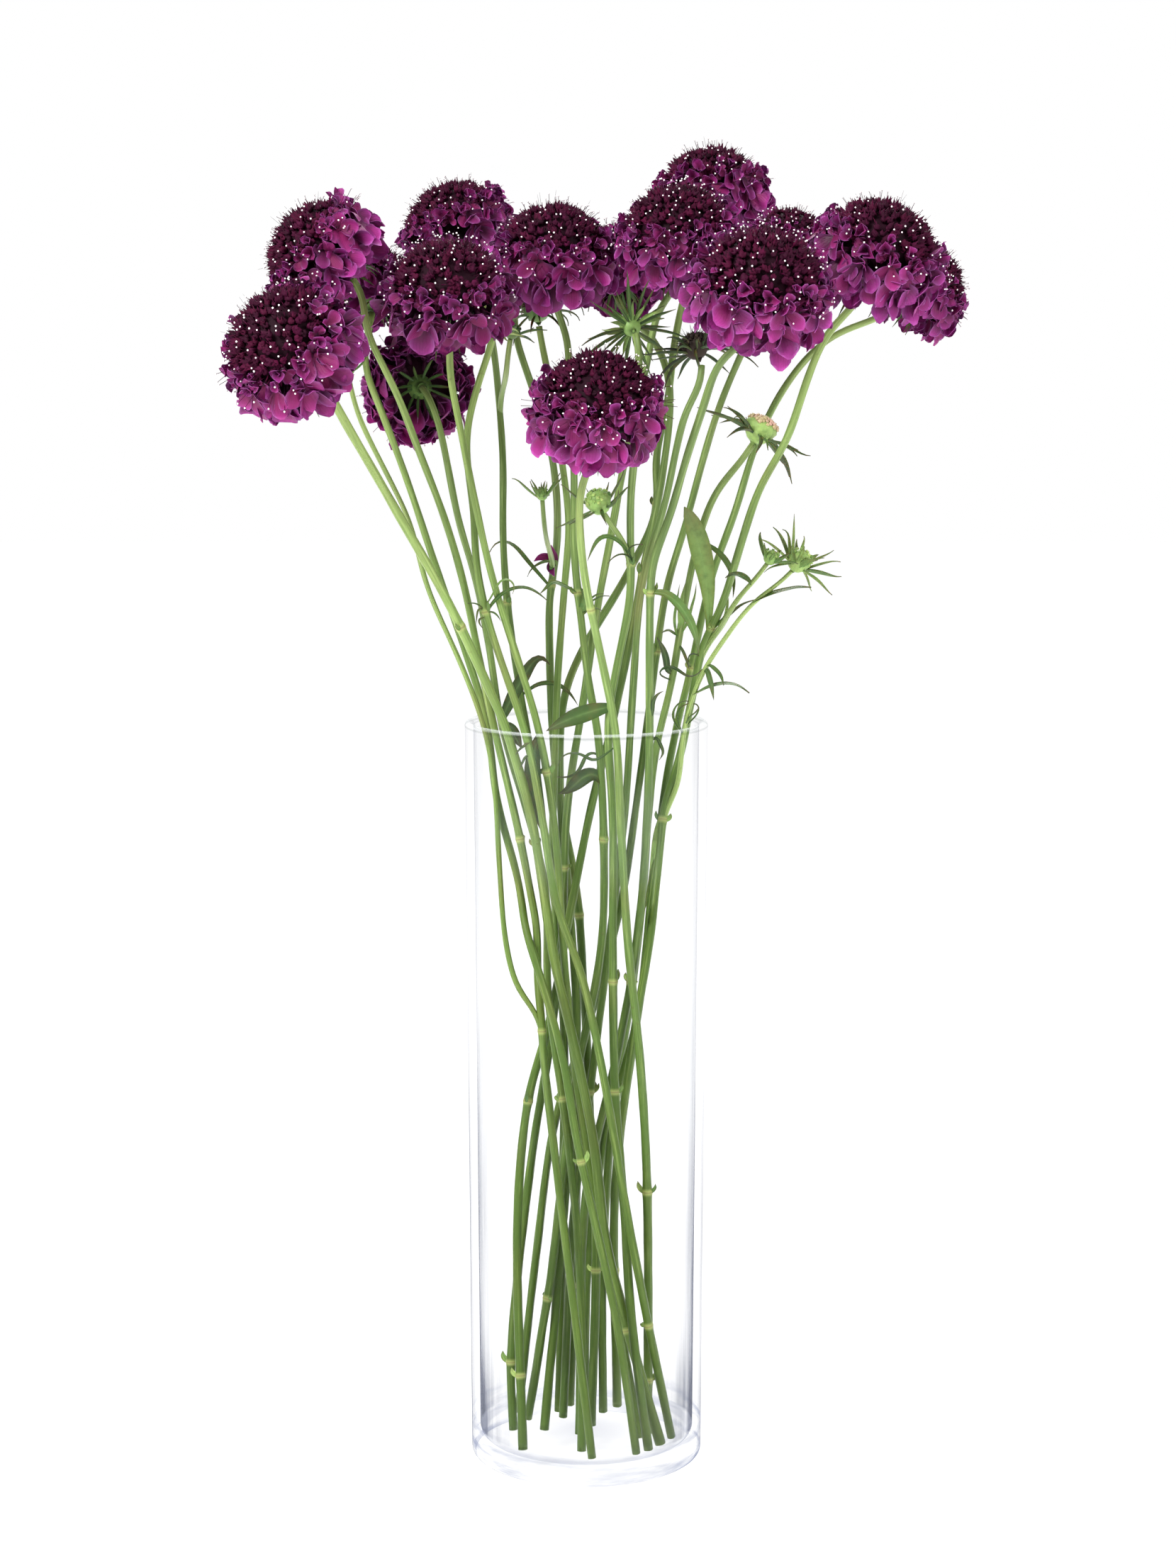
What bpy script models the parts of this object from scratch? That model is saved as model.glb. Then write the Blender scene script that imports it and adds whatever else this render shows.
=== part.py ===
"""Cut scabiosa standing in a clear glass cylinder vase.

Metres, +Z up. The origin is the centre of the vase's base, on the table. The
front of the arrangement faces -Y.

The arrangement is laid out as its front elevation, in millimetres: x across
and z up in the plane through the vase's axis, as seen by somebody standing at
EYE. A depth y then slides each point along its own line of sight, so the
front elevation stays as drawn whatever the depth. Stems are eased apart in
depth until none touches another or the glass (see settle).
"""

import math

import bmesh
import bpy
import numpy as np
from mathutils import Matrix, Vector

for old in list(bpy.data.objects):
    bpy.data.objects.remove(old, do_unlink=True)

MM = 0.001

# ---- driving dimensions, mm ----
VASE_H = 311.4
VASE_R_TOP = 50.0
VASE_R_BASE = 48.4
WALL = 3.6
FLOOR_T = 7.5
RIM_ROUND = 1.2
FOOT_ROUND = 2.5
STEM_R = 1.92        # at the cut foot
STEM_TOP_R = 1.45    # under the flower
SHOOT_R = 1.15
STEM_ROOM = 2.35     # half the width a stem keeps to itself, bark and bumps too
SHOOT_ROOM = 1.45
GAP = 0.9            # clear space kept between stems
EYE = (0.7, -1292.0, 467.7)
LEVEL = 4.0          # spacing of the levels at which stems are eased apart
LEAD = 11.0          # length over which a stem turns to meet its head

# ---- flower heads: centre in elevation (x, z), depth y, facing, ruff radius ----
HEADS = {
    "01": ((-121, 465), -86, (-0.50, -0.62, 0.60), 30.5),
    "02": ((-108, 501), -37, (-0.80, -0.10, 0.60), 28.5),
    "03": ((-85, 489), 14, (0.10, 0.35, 0.93), 22.0),
    "04": ((-56, 487), -46, (-0.02, -0.50, 0.86), 28.5),
    "05": ((-53, 512), 37, (-0.45, 0.05, 0.89), 27.5),
    "06": ((-69, 448), 27, (-0.22, 0.95, 0.05), 25.5),
    "07": ((-13, 502), -3, (0.02, -0.25, 0.97), 29.0),
    "08": ((13, 497), 48, (0.05, 0.35, 0.93), 25.0),
    "09": ((37, 510), -20, (-0.10, -0.35, 0.93), 27.5),
    "10": ((50, 526), 46, (-0.10, 0.15, 0.98), 27.5),
    "11": ((71, 489), -77, (0.12, -0.48, 0.87), 31.0),
    "12": ((82, 506), 10, (0.20, 0.05, 0.97), 20.0),
    "13": ((118, 502), -34, (0.35, -0.22, 0.91), 30.5),
    "14": ((136, 489), 34, (0.75, 0.15, 0.64), 24.0),
    "15": ((5, 441), -76, (0.05, -0.42, 0.91), 29.5),
    "16": ((-30, 493), 75, (-0.10, 0.60, 0.79), 18.0),
}
DOME_UP = 0.60       # height of the domed centre over the ruff, in ruff radii
DOME_R = 0.76
RUFF_DROOP = 0.58
CALYX = 0.56         # depth of the calyx under the ruff, in ruff radii

# ---- stems: elevation points from the top down, and depth at the top, rim,
# neck (where the bunch is tightest) and foot ----
STEMS = {
    "01": dict(head="01", fat=1.18, pts=[(-105, 445), (-88, 416), (-75, 393), (-56, 359), (-39, 322), (-33, 307), (-23, 272), (-13, 209), (-6, 179), (3, 134), (8, 91), (17, 54), (33, -4)], y=(-62, -27, -12, -30)),
    "02": dict(head="02", pts=[(-92, 477), (-76, 443), (-69, 424), (-58, 395), (-50, 367), (-44, 337), (-39, 313), (-27, 260), (-22, 230), (-19, 181), (-15, 143), (-5, 59), (3, -10)], y=(-14, -14, -10, -41)),
    "03": dict(head="03", pts=[(-89, 469), (-90, 456), (-84, 440), (-73, 410), (-62, 376), (-51, 344), (-41, 311), (-37, 278), (-29, 248), (-23, 218), (-10, 170), (-4, 134), (13, 54), (22, -8)], y=(36, 1, -27, -36), via=[(452, 2), (392, 0)]),
    "04": dict(head="06", pts=[(-68, 448), (-61, 437), (-57, 419), (-52, 393), (-45, 369), (-40, 343), (-35, 310), (-25, 275), (-17, 242), (-16, 197), (-10, 152), (-5, 109), (-2, 60), (-2, -3)], y=(-14, 10, -3, -29), via=[(430, -4), (400, 2)]),
    "05": dict(tip="bracts_1", pts=[(-40, 467), (-45, 445), (-49, 426), (-46, 398), (-45, 376), (-41, 355), (-32, 327), (-25, 306), (-18, 269), (-12, 233), (-3, 208), (5, 173), (20, 86), (37, 0)], y=(-24, -33, -22, -20)),
    "06": dict(head="04", pts=[(-58, 470), (-56, 457), (-52, 435), (-46, 404), (-39, 372), (-29, 339), (-20, 309), (-13, 266), (-10, 221), (-6, 176), (1, 125), (10, 76), (23, 4)], y=(-36, -26, -7, -12)),
    "07": dict(head="05", pts=[(-43, 486), (-38, 466), (-34, 421), (-34, 386), (-32, 356), (-27, 322), (-19, 275), (-12, 227), (-6, 179), (-4, 131), (-5, 75), (-7, 18)], y=(18, 16, 15, 29)),
    "08": dict(head="16", pts=[(-32, 478), (-28, 465), (-15, 425), (-12, 403), (-12, 383), (-15, 363), (-15, 337), (-14, 307), (-11, 278), (-4, 240), (-1, 197), (1, 156), (4, 88), (2, 8)], y=(34, 26, 22, 2)),
    "09": dict(tip="spent_head", pts=[(-20, 476), (-17, 465), (-14, 443), (-9, 411), (-7, 392), (-9, 366), (-12, 326), (-13, 293), (-14, 263), (-12, 215), (-9, 173), (-10, 122), (-11, 44), (-12, 15)], y=(2, 10, 14, 21), via=[(440, 16), (392, 13)]),
    "10": dict(head="07", pts=[(-9, 487), (-8, 473), (-7, 446), (-5, 415), (-5, 380), (-2, 352), (1, 326), (5, 304), (7, 227), (3, 196), (-2, 173), (-8, 137), (-15, 75), (-25, 12)], y=(-6, -17, 4, 11)),
    "11": dict(head="15", pts=[(4, 429), (-1, 416), (-3, 398), (-1, 372), (7, 333), (12, 307), (14, 272), (17, 221), (22, 173), (25, 128), (26, 80), (26, 5)], y=(-60, -34, -14, -7)),
    "12": dict(head="09", pts=[(29, 480), (26, 464), (15, 415), (10, 387), (4, 355), (-1, 321), (-8, 275), (-10, 221), (-16, 170), (-22, 134), (-32, 39), (-31, 7)], y=(-16, 0, 10, -3)),
    "13": dict(tip="involucre", pts=[(18, 466), (21, 455), (21, 435), (18, 403), (18, 381), (18, 362), (13, 336), (9, 311), (11, 269), (11, 209), (12, 155), (16, 103), (19, 57), (27, -6)], y=(-40, -28, -8, -37), via=[(430, -25), (380, -24)]),
    "14": dict(head="08", pts=[(17, 493), (22, 483), (29, 464), (34, 448), (30, 406), (23, 373), (18, 345), (10, 307), (3, 280), (-7, 230), (-16, 182), (-24, 154), (-29, 102), (-27, -3)], y=(20, 12, 6, -31)),
    "15": dict(head="10", pts=[(45, 503), (39, 482), (35, 461), (33, 441), (28, 418), (29, 398), (17, 372), (-8, 326), (-11, 287), (-7, 233), (-4, 185), (-8, 122), (-18, 7)], y=(14, 18, 8, -3)),
    "16": dict(tip="seed_head", pts=[(45, 455), (41, 441), (36, 420), (32, 400), (23, 369), (19, 322), (16, 275), (9, 215), (3, 167), (-5, 106), (-10, 13)], y=(-16, 14, 13, 13)),
    "17": dict(head="11", pts=[(62, 473), (54, 459), (48, 441), (41, 420), (34, 395), (27, 376), (26, 354), (26, 306), (25, 269), (21, 218), (12, 167), (0, 112), (-3, 6)], y=(-60, -34, 5, -8)),
    "18": dict(head="12", pts=[(72, 480), (61, 457), (53, 437), (46, 413), (40, 390), (33, 367), (28, 333), (22, 287), (14, 233), (2, 188), (-13, 143), (-21, 86), (-29, 15)], y=(-4, 18, 18, 20)),
    "19": dict(tip="bud_right", pts=[(67, 424), (62, 418), (52, 404), (45, 383), (39, 352), (35, 327), (28, 296), (24, 245), (18, 191), (9, 143), (1, 88), (-1, 10)], y=(16, 8, 20, 8)),
    "20": dict(head="14", pts=[(112, 484), (99, 468), (88, 458), (77, 442), (68, 422), (61, 398), (51, 370), (43, 333), (34, 293), (28, 248), (21, 185), (12, 150), (7, 82), (7, 15)], y=(28, 22, 2, 20), via=[(440, 26), (400, 24)]),
    "21": dict(head="13", pts=[(109, 490), (99, 472), (91, 455), (81, 425), (71, 408), (64, 387), (56, 360), (47, 337), (41, 307), (32, 268), (26, 218), (19, 173), (12, 112), (13, 18)], y=(-22, -6, -10, 28)),
}

# side shoots: they leave their stem at the last point
SHOOTS = {
    "02a": dict(on="02", tip="bud_hidden", pts=[(-96, 450), (-93, 437), (-83, 416), (-72, 393), (-65, 366), (-52, 336), (-43, 312), (-38, 287), (-36, 251), (-33, 215), (-26, 191), (-19, 180)], y=(-34, -6, -12)),
    "07a": dict(on="07", tip="bracts_2", pts=[(-31, 466), (-32, 456), (-34, 436)], y=(8, 12)),
    "08a": dict(on="08", tip="bud_left", pts=[(-18, 399), (-17, 392), (-16, 384), (-14, 368)], y=(12, 22)),
    "13a": dict(on="13", tip="bud_ball", pts=[(8, 397), (13, 392), (17, 383), (18, 372)], y=(-34, -28)),
    "21a": dict(on="21", tip="bud_long", pts=[(83, 373), (68, 360), (56, 344), (47, 330), (40.5, 309), (38, 287), (32, 266)], y=(-18, -8, -8)),
    "21b": dict(on="21", tip="bud_small", pts=[(73, 374), (67.5, 368.5), (63, 363.5), (59.5, 358), (56.5, 352), (53.5, 344), (50, 334)], y=(-26, -16, -10)),
}

# buds and bare heads: centre in elevation, facing, core radius, bract reach, bracts
TIPS = {
    "bracts_1": ((-37, 471), -24, (0.2, -0.3, 0.9), 4.0, 9.0, 7),
    "bracts_2": ((-30, 470), 8, (0.2, 0.1, 0.9), 3.5, 10.0, 6),
    "spent_head": ((-20, 480), 17, (-0.1, -0.2, 0.97), 8.0, 11.0, 9),
    "involucre": ((18, 472), -30, (-0.25, 0.85, 0.45), 7.0, 17.0, 10),
    "seed_head": ((44, 464), -14, (-0.3, 0.3, 0.9), 8.0, 17.0, 10),
    "bud_right": ((71, 431), 2, (0.45, 0.0, 0.87), 7.0, 17.0, 9),
    "bud_hidden": ((-97, 455), -34, (-0.2, 0.1, 0.97), 3.5, 7.0, 6),
    "bud_left": ((-18, 404), 12, (-0.05, 0.0, 1.0), 2.6, 7.0, 6),
    "bud_ball": ((5, 401), -30, (-0.35, -0.3, 0.88), 5.4, 13.0, 8),
    "bud_long": ((87, 377), -18, (0.55, -0.1, 0.83), 5.0, 15.0, 9),
    "bud_small": ((75.5, 378.5), -27, (0.5, -0.1, 0.86), 3.3, 8.0, 7),
}

OWN = ("spent_head", "involucre", "seed_head", "bud_right")  # the rest are joined to their stem

# leaves: elevation points from the stem outwards, depth offset from the stem at
# the tip, greatest width, how far the blade faces up (0) or the front (1)
LEAVES = [
    dict(on="13", pts=[(11, 317), (4, 315.5), (-4, 313), (-11, 310), (-16.5, 307)], dy=-6, w=7.0, face=0.85),
    dict(on="21", pts=[(53.5, 347.5), (52.5, 354), (50.7, 363), (48.9, 371.5), (47, 380), (44.5, 389), (42, 395.5), (40, 399)], dy=-16, w=8.8, face=0.95),
    dict(on="19", pts=[(46, 385), (50, 383.5), (53, 381.4), (56.4, 378), (59, 373.6), (60.5, 368.5), (60, 362)], dy=-6, w=2.6, face=0.5),
    dict(on="17", pts=[(25, 364), (31, 364.3), (35.6, 361.4), (40, 356.5), (43.2, 351), (45.3, 345), (46.2, 338)], dy=-6, w=4.0, face=0.6),
    dict(on="21a", pts=[(68, 360), (74, 363), (81, 365), (87, 366.3), (92, 366.2)], dy=-5, w=3.2, face=0.3),
    dict(on="21a", pts=[(44, 322), (50, 325), (56, 326.5), (62, 326), (67, 322.7)], dy=-10, w=3.4, face=0.3),
    dict(on="08", pts=[(-15, 366), (-20, 372), (-25, 378), (-29, 383), (-34, 385.5), (-38, 384), (-39.5, 380.5)], dy=-12, w=2.4, face=0.5),
    dict(on="13", pts=[(18, 377), (16, 382), (11, 386.5), (6, 387), (3, 383), (0.5, 377)], dy=-14, w=2.4, face=0.5),
    dict(on="10", pts=[(-4, 364), (-9, 366.5), (-14, 368.5), (-16, 366.3), (-19, 363.5)], dy=-12, w=2.6, face=0.4),
]


def slide(x, z, y):
    """The point at depth y on the line of sight through (x, z) of the elevation."""
    t = 1.0 + y / -EYE[1]
    return np.array([EYE[0] + (x - EYE[0]) * t, y, EYE[2] + (z - EYE[2]) * t])


def unit(v):
    v = np.asarray(v, float)
    return v / np.linalg.norm(v)


def spline(pts, n):
    """Centripetal Catmull-Rom curve through pts, at n even steps of length."""
    p = np.asarray(pts, float)
    p = np.vstack([2 * p[0] - p[1], p, 2 * p[-1] - p[-2]])
    k = np.concatenate([[0], np.cumsum(np.sqrt(np.linalg.norm(np.diff(p, axis=0), axis=1)) + 1e-9)])
    out = []
    for i in range(1, len(p) - 2):
        for t in np.linspace(k[i], k[i + 1], 24, endpoint=False):
            a = [(p[j] * (k[j + 1] - t) + p[j + 1] * (t - k[j])) / (k[j + 1] - k[j]) for j in (i - 1, i, i + 1)]
            b = [(a[j] * (k[i + 1 + j] - t) + a[j + 1] * (t - k[i - 1 + j])) / (k[i + 1 + j] - k[i - 1 + j]) for j in (0, 1)]
            out.append((b[0] * (k[i + 1] - t) + b[1] * (t - k[i])) / (k[i + 1] - k[i]))
    out.append(p[-2])
    out = np.array(out)
    s = np.concatenate([[0], np.cumsum(np.linalg.norm(np.diff(out, axis=0), axis=1))])
    at = np.linspace(0, s[-1], n)
    return np.stack([np.interp(at, s, out[:, c]) for c in range(out.shape[1])], axis=1)


def ease(z, knots):
    """Depth at height z from (z, y) knots, with no overshoot between them."""
    knots = sorted(knots)
    zs, ys = [k[0] for k in knots], [k[1] for k in knots]
    z = min(max(z, zs[0]), zs[-1])
    for i in range(len(zs) - 1):
        if z <= zs[i + 1]:
            t = (z - zs[i]) / max(1e-6, zs[i + 1] - zs[i])
            s = t * t * (3 - 2 * t)
            t = 0.55 * t + 0.45 * s
            return ys[i] + (ys[i + 1] - ys[i]) * t
    return ys[-1]


def head_frame(key):
    """Centre and facing of a flower head, and the underside of its calyx."""
    (x, z), y, n, r = HEADS[key]
    c, n = slide(x, z, y), unit(n)
    return c, n, c - n * (CALYX * r + 0.6), r


def tip_frame(key):
    (x, z), y, n, core, reach, count = TIPS[key]
    return slide(x, z, y), unit(n), core, reach, count


def to_elevation(p):
    t = 1.0 + p[1] / -EYE[1]
    return EYE[0] + (p[0] - EYE[0]) / t, EYE[2] + (p[2] - EYE[2]) / t


def end_frame(s):
    """Where a stem ends under its head or bud, and the way the head faces."""
    if "head" in s:
        _, n, base, _ = head_frame(s["head"])
        return base, n
    c, n, core, _, _ = tip_frame(s["tip"])
    return c - n * (core + (0.5 if s["tip"] in OWN else -1.2)), n


def lead_in(path, end, n):
    """Path with its first LEAD of length bent to meet end squarely along n."""
    run = np.concatenate([[0], np.cumsum(np.linalg.norm(np.diff(path, axis=0), axis=1))])
    i = int(np.searchsorted(run, 1.9 * LEAD))
    i = min(max(i, 2), len(path) - 3)
    t = unit(path[i - 1] - path[i + 1])
    span = np.linalg.norm(path[i] - end)
    a, b, c, d = end, end - n * 0.42 * span, path[i] + t * 0.36 * span, path[i]
    u = np.linspace(0, 1, 9)[:-1, None]
    curve = (1 - u) ** 3 * a + 3 * u * (1 - u) ** 2 * b + 3 * u * u * (1 - u) * c + u ** 3 * d
    return np.vstack([curve, path[i:]])


def settle():
    """Depth and place of every stem at every level, eased apart.

    Each stem is drawn at levels LEVEL apart. At each level two stems that are
    closer than their radii and GAP are pushed apart, mostly in depth; the
    pushes are smoothed along the stem, so it stays a smooth curve.
    """
    rows = {}
    for key, s in list(STEMS.items()) + list(SHOOTS.items()):
        pts = [tuple(map(float, p)) for p in s["pts"]]
        top_y = s["y"][0]
        end, n = end_frame(s)
        ex, ez = to_elevation(end)
        while len(pts) > 3 and pts[0][1] > ez - 6:
            pts.pop(0)
        pts.insert(0, (ex, ez))
        lead = end - n * LEAD
        top_y = lead[1]
        curve = spline(pts, 260)
        order = np.argsort(curve[:, 1])
        cx, cz = curve[order, 0], curve[order, 1]
        levels = np.arange(math.ceil(cz[0] / LEVEL), math.floor(cz[-1] / LEVEL) + 1)
        z = levels * LEVEL
        z = np.concatenate([[cz[0]], z[(z > cz[0] + 0.8) & (z < cz[-1] - 0.8)], [cz[-1]]])
        x = np.interp(z, cz, cx)
        if key in STEMS:
            knots = [(cz[0], s["y"][3]), (182, s["y"][2]), (307, s["y"][1]), (cz[-1], top_y)]
            mid = 0.42 * s["y"][1] + 0.58 * top_y
            knots += s.get("via", [(0.5 * (cz[-1] + 307), mid)])
        else:
            knots = [(zz, yy) for zz, yy in zip(np.linspace(cz[-1], cz[0], len(s["y"])), (top_y, *s["y"][1:]))]
        y = np.array([ease(v, knots) for v in z])
        rows[key] = dict(z=z, x=x.copy(), x0=x.copy(), y=y, y0=y.copy(), r=STEM_ROOM if key in STEMS else SHOOT_ROOM)
    keys = list(rows)
    lo = min(r["z"][0] for r in rows.values())
    hi = max(r["z"][-1] for r in rows.values())
    grid = np.arange(lo, hi + LEVEL, LEVEL)
    n, m = len(grid), len(keys)
    live = np.zeros((n, m), bool)
    X, Y = np.zeros((n, m)), np.zeros((n, m))
    for j, k in enumerate(keys):
        r = rows[k]
        live[:, j] = (grid >= r["z"][0] - 0.5 * LEVEL) & (grid <= r["z"][-1] + 0.5 * LEVEL)
        X[:, j] = np.interp(grid, r["z"], r["x"])
        Y[:, j] = np.interp(grid, r["z"], r["y"])
    X0, Y0 = X.copy(), Y.copy()
    rad = np.array([rows[k]["r"] for k in keys])
    need0 = rad[:, None] + rad[None, :] + GAP
    both = live[:, :, None] & live[:, None, :]
    both &= ~np.eye(m, dtype=bool)[None]
    scale = np.ones((n, m, m))
    parent = {}
    for j, k in enumerate(keys):
        if k in SHOOTS:
            i = keys.index(SHOOTS[k]["on"])
            parent[j] = i
            zj = rows[k]["z"][0]
            ramp = np.clip((grid - zj) / 22.0, 0, 1)
            scale[:, i, j] = scale[:, j, i] = ramp
    T = 1.0 + Y0 / -EYE[1]
    dx0 = (X0 * T)[:, :, None] - (X0 * T)[:, None, :]
    dy0 = Y0[:, :, None] - Y0[:, None, :]
    weight = np.exp(-(dx0 / 6.0) ** 2) * both
    sign = np.sign((dy0 * weight).sum(0) + 1e-6 * (np.arange(m)[:, None] - np.arange(m)[None, :]))
    for step in range(1100):
        T = 1.0 + Y / -EYE[1]
        XW = X * T
        mx, my = np.gradient(XW, axis=0) / LEVEL, np.gradient(Y, axis=0) / LEVEL
        dx = XW[:, :, None] - XW[:, None, :]
        dy = Y[:, :, None] - Y[:, None, :]
        h = np.sqrt(dx ** 2 + dy ** 2) + 1e-6
        amx, amy = 0.5 * (mx[:, :, None] + mx[:, None, :]), 0.5 * (my[:, :, None] + my[:, None, :])
        along = (amx * dx + amy * dy) / h
        need = need0[None] * scale / np.sqrt(np.maximum(0.25, 1 - along ** 2 / (1 + amx ** 2 + amy ** 2)))
        over = np.where(both, np.maximum(0.0, need - h), 0.0)
        over = np.where(h * 0 + scale < 0.05, 0.0, over)
        uy = np.where(np.abs(dy) > 0.4 * h, np.sign(dy), sign[None]) * np.maximum(0.55, np.abs(dy) / h)
        ux = 0.45 * dx / h
        py, px = (over * uy).sum(2), (over * ux).sum(2)
        for _ in range(3):
            py[1:-1] = 0.25 * py[:-2] + 0.5 * py[1:-1] + 0.25 * py[2:]
            px[1:-1] = 0.25 * px[:-2] + 0.5 * px[1:-1] + 0.25 * px[2:]
        Y += 0.36 * py
        X += 0.22 * px
        X += 0.03 * (X0 - X)
        Y[1:-1] += 0.12 * (0.5 * (Y[:-2] + Y[2:]) - Y[1:-1]) * (live[:-2] & live[2:])
        # the glass
        T = 1.0 + Y / -EYE[1]
        zt = EYE[2] + (grid[:, None] - EYE[2]) * T
        inner = VASE_R_BASE + (VASE_R_TOP - VASE_R_BASE) * zt / VASE_H - WALL
        room = inner - rad[None] - 1.3 - np.clip((FLOOR_T + 14 - zt) / 3.0, 0, 3.2)
        rr = np.sqrt((X * T) ** 2 + Y ** 2)
        out = (zt < VASE_H + 3) & (rr > room)
        f = np.where(out, room / np.maximum(rr, 1e-6), 1.0)
        Y = np.where(out, Y * (1 + 0.9 * (f - 1)), Y)
        X = np.where(out, X * (1 + 0.6 * (f - 1)), X)
        # the flower end stays on its calyx
        for j, k in enumerate(keys):
            s = STEMS.get(k) or SHOOTS[k]
            fade = np.clip((grid - (rows[k]["z"][-1] - 26.0)) / 26.0, 0, 1)
            Y[:, j] += fade * (Y0[:, j] - Y[:, j]) * 0.6
            X[:, j] += fade * (X0[:, j] - X[:, j]) * 0.6
            if j in parent:
                i = parent[j]
                fade = np.clip(1 - (grid - rows[k]["z"][0]) / 20.0, 0, 1)
                Y[:, j] += fade * (Y[:, i] - Y[:, j]) * 0.5
                X[:, j] += fade ** 3 * (X[:, i] - X[:, j]) * 0.5
    paths = {}
    for j, k in enumerate(keys):
        z = rows[k]["z"]
        x, y = np.interp(z, grid, X[:, j]), np.interp(z, grid, Y[:, j])
        if j in parent:
            i = parent[j]
            x[0], y[0] = np.interp(z[0], grid, X[:, i]), np.interp(z[0], grid, Y[:, i])
        path = np.array([slide(a, b, c) for a, b, c in zip(x, z, y)])[::-1]
        if k in STEMS:
            path = path[path[:, 2] > FLOOR_T + 6]
            d = path[-1] - path[-3]
            d /= abs(d[2])
            foot = path[-1] + d * (path[-1][2] - FLOOR_T - 1.6)
            path = np.vstack([path, foot])
        paths[k] = lead_in(path, *end_frame(STEMS.get(k) or SHOOTS[k]))
    return paths


PATHS = settle()


# ---- materials ----
def material(name, colour, rough, metal=0.0, transmission=0.0):
    m = bpy.data.materials.new(name)
    m.use_nodes = True
    b = m.node_tree.nodes["Principled BSDF"]
    b.inputs["Base Color"].default_value = (*colour, 1.0)
    b.inputs["Roughness"].default_value = rough
    b.inputs["Metallic"].default_value = metal
    if transmission:
        b.inputs["Transmission Weight"].default_value = transmission
        b.inputs["IOR"].default_value = 1.5
    m.diffuse_color = (*colour, 1.0)
    return m


GLASS = material("glass", (0.93, 0.96, 0.97), 0.02, transmission=1.0)
STEM = material("stem", (0.20, 0.38, 0.09), 0.45)
PETAL = material("petal", (0.24, 0.015, 0.16), 0.60)
CENTRE = material("centre", (0.055, 0.004, 0.022), 0.70)
GREEN = material("bract", (0.14, 0.26, 0.07), 0.55)
SPENT = material("spent", (0.22, 0.17, 0.07), 0.70)


# ---- mesh helpers ----
def finish(name, verts, faces, mat, smooth=True):
    """An object from points in mm and faces, welded and facing out."""
    mesh = bpy.data.meshes.new(name)
    mesh.from_pydata([tuple(c * MM for c in v) for v in verts], [], faces)
    bm = bmesh.new()
    bm.from_mesh(mesh)
    bmesh.ops.recalc_face_normals(bm, faces=bm.faces)
    if bm.calc_volume(signed=True) < 0:
        bmesh.ops.reverse_faces(bm, faces=bm.faces)
    bm.to_mesh(mesh)
    bm.free()
    mesh.materials.append(mat)
    if smooth:
        mesh.shade_smooth()
        mesh.set_sharp_from_angle(angle=math.radians(40))
    ob = bpy.data.objects.new(name, mesh)
    bpy.context.collection.objects.link(ob)
    return ob


def basis(n):
    n = unit(n)
    a = np.cross(n, (0.0, 1.0, 0.0))
    if np.linalg.norm(a) < 0.2:
        a = np.cross(n, (1.0, 0.0, 0.0))
    a = unit(a)
    return a, np.cross(n, a), n


def lathe(rings, c, n, caps=(None, None)):
    """Rings of (x, y, z) local points, each a closed loop, with a point at each end."""
    a, b, n = basis(n)
    place = lambda p: c + a * p[0] + b * p[1] + n * p[2]
    verts, faces = [], []
    count = len(rings[0])
    for ring in rings:
        verts += [place(p) for p in ring]
    for k in range(len(rings) - 1):
        for i in range(count):
            j = (i + 1) % count
            faces.append((k * count + i, k * count + j, (k + 1) * count + j, (k + 1) * count + i))
    for end, ring in ((caps[0], 0), (caps[1], len(rings) - 1)):
        verts.append(place(end))
        v = len(verts) - 1
        for i in range(count):
            j = (i + 1) % count
            faces.append((ring * count + j, ring * count + i, v) if ring == 0 else (ring * count + i, ring * count + j, v))
    return verts, faces


def thin(path, tol=0.35, far=46.0):
    """Fewer points on a smooth path: straight runs get long steps."""
    keep = [0]
    i = 0
    while i < len(path) - 1:
        j = i + 1
        while j + 1 < len(path):
            seg = path[j + 1] - path[i]
            if np.linalg.norm(seg) > far:
                break
            u = seg / np.linalg.norm(seg)
            d = path[i + 1:j + 1] - path[i]
            off = d - np.outer(d @ u, u)
            if np.linalg.norm(off, axis=1).max() > tol:
                break
            j += 1
        keep.append(j)
        i = j
    return path[keep]


def tube(path, r0, r1, sides=6):
    """Closed tube along path, radius r0 at its first point to r1 at its last."""
    n = len(path)
    tan = np.gradient(path, axis=0)
    tan /= np.linalg.norm(tan, axis=1)[:, None]
    a = np.cross(tan[0], (0.0, 1.0, 0.0))
    a = unit(a)
    verts, faces = [], []
    for i in range(n):
        a = unit(a - tan[i] * (a @ tan[i]))
        b = np.cross(tan[i], a)
        r = r0 + (r1 - r0) * i / (n - 1)
        for k in range(sides):
            t = 2 * math.pi * k / sides
            verts.append(path[i] + r * (math.cos(t) * a + math.sin(t) * b))
    for i in range(n - 1):
        for k in range(sides):
            m = (k + 1) % sides
            faces.append((i * sides + k, i * sides + m, (i + 1) * sides + m, (i + 1) * sides + k))
    faces.append(tuple(reversed(range(sides))))
    faces.append(tuple(range((n - 1) * sides, n * sides)))
    return verts, faces


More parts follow.
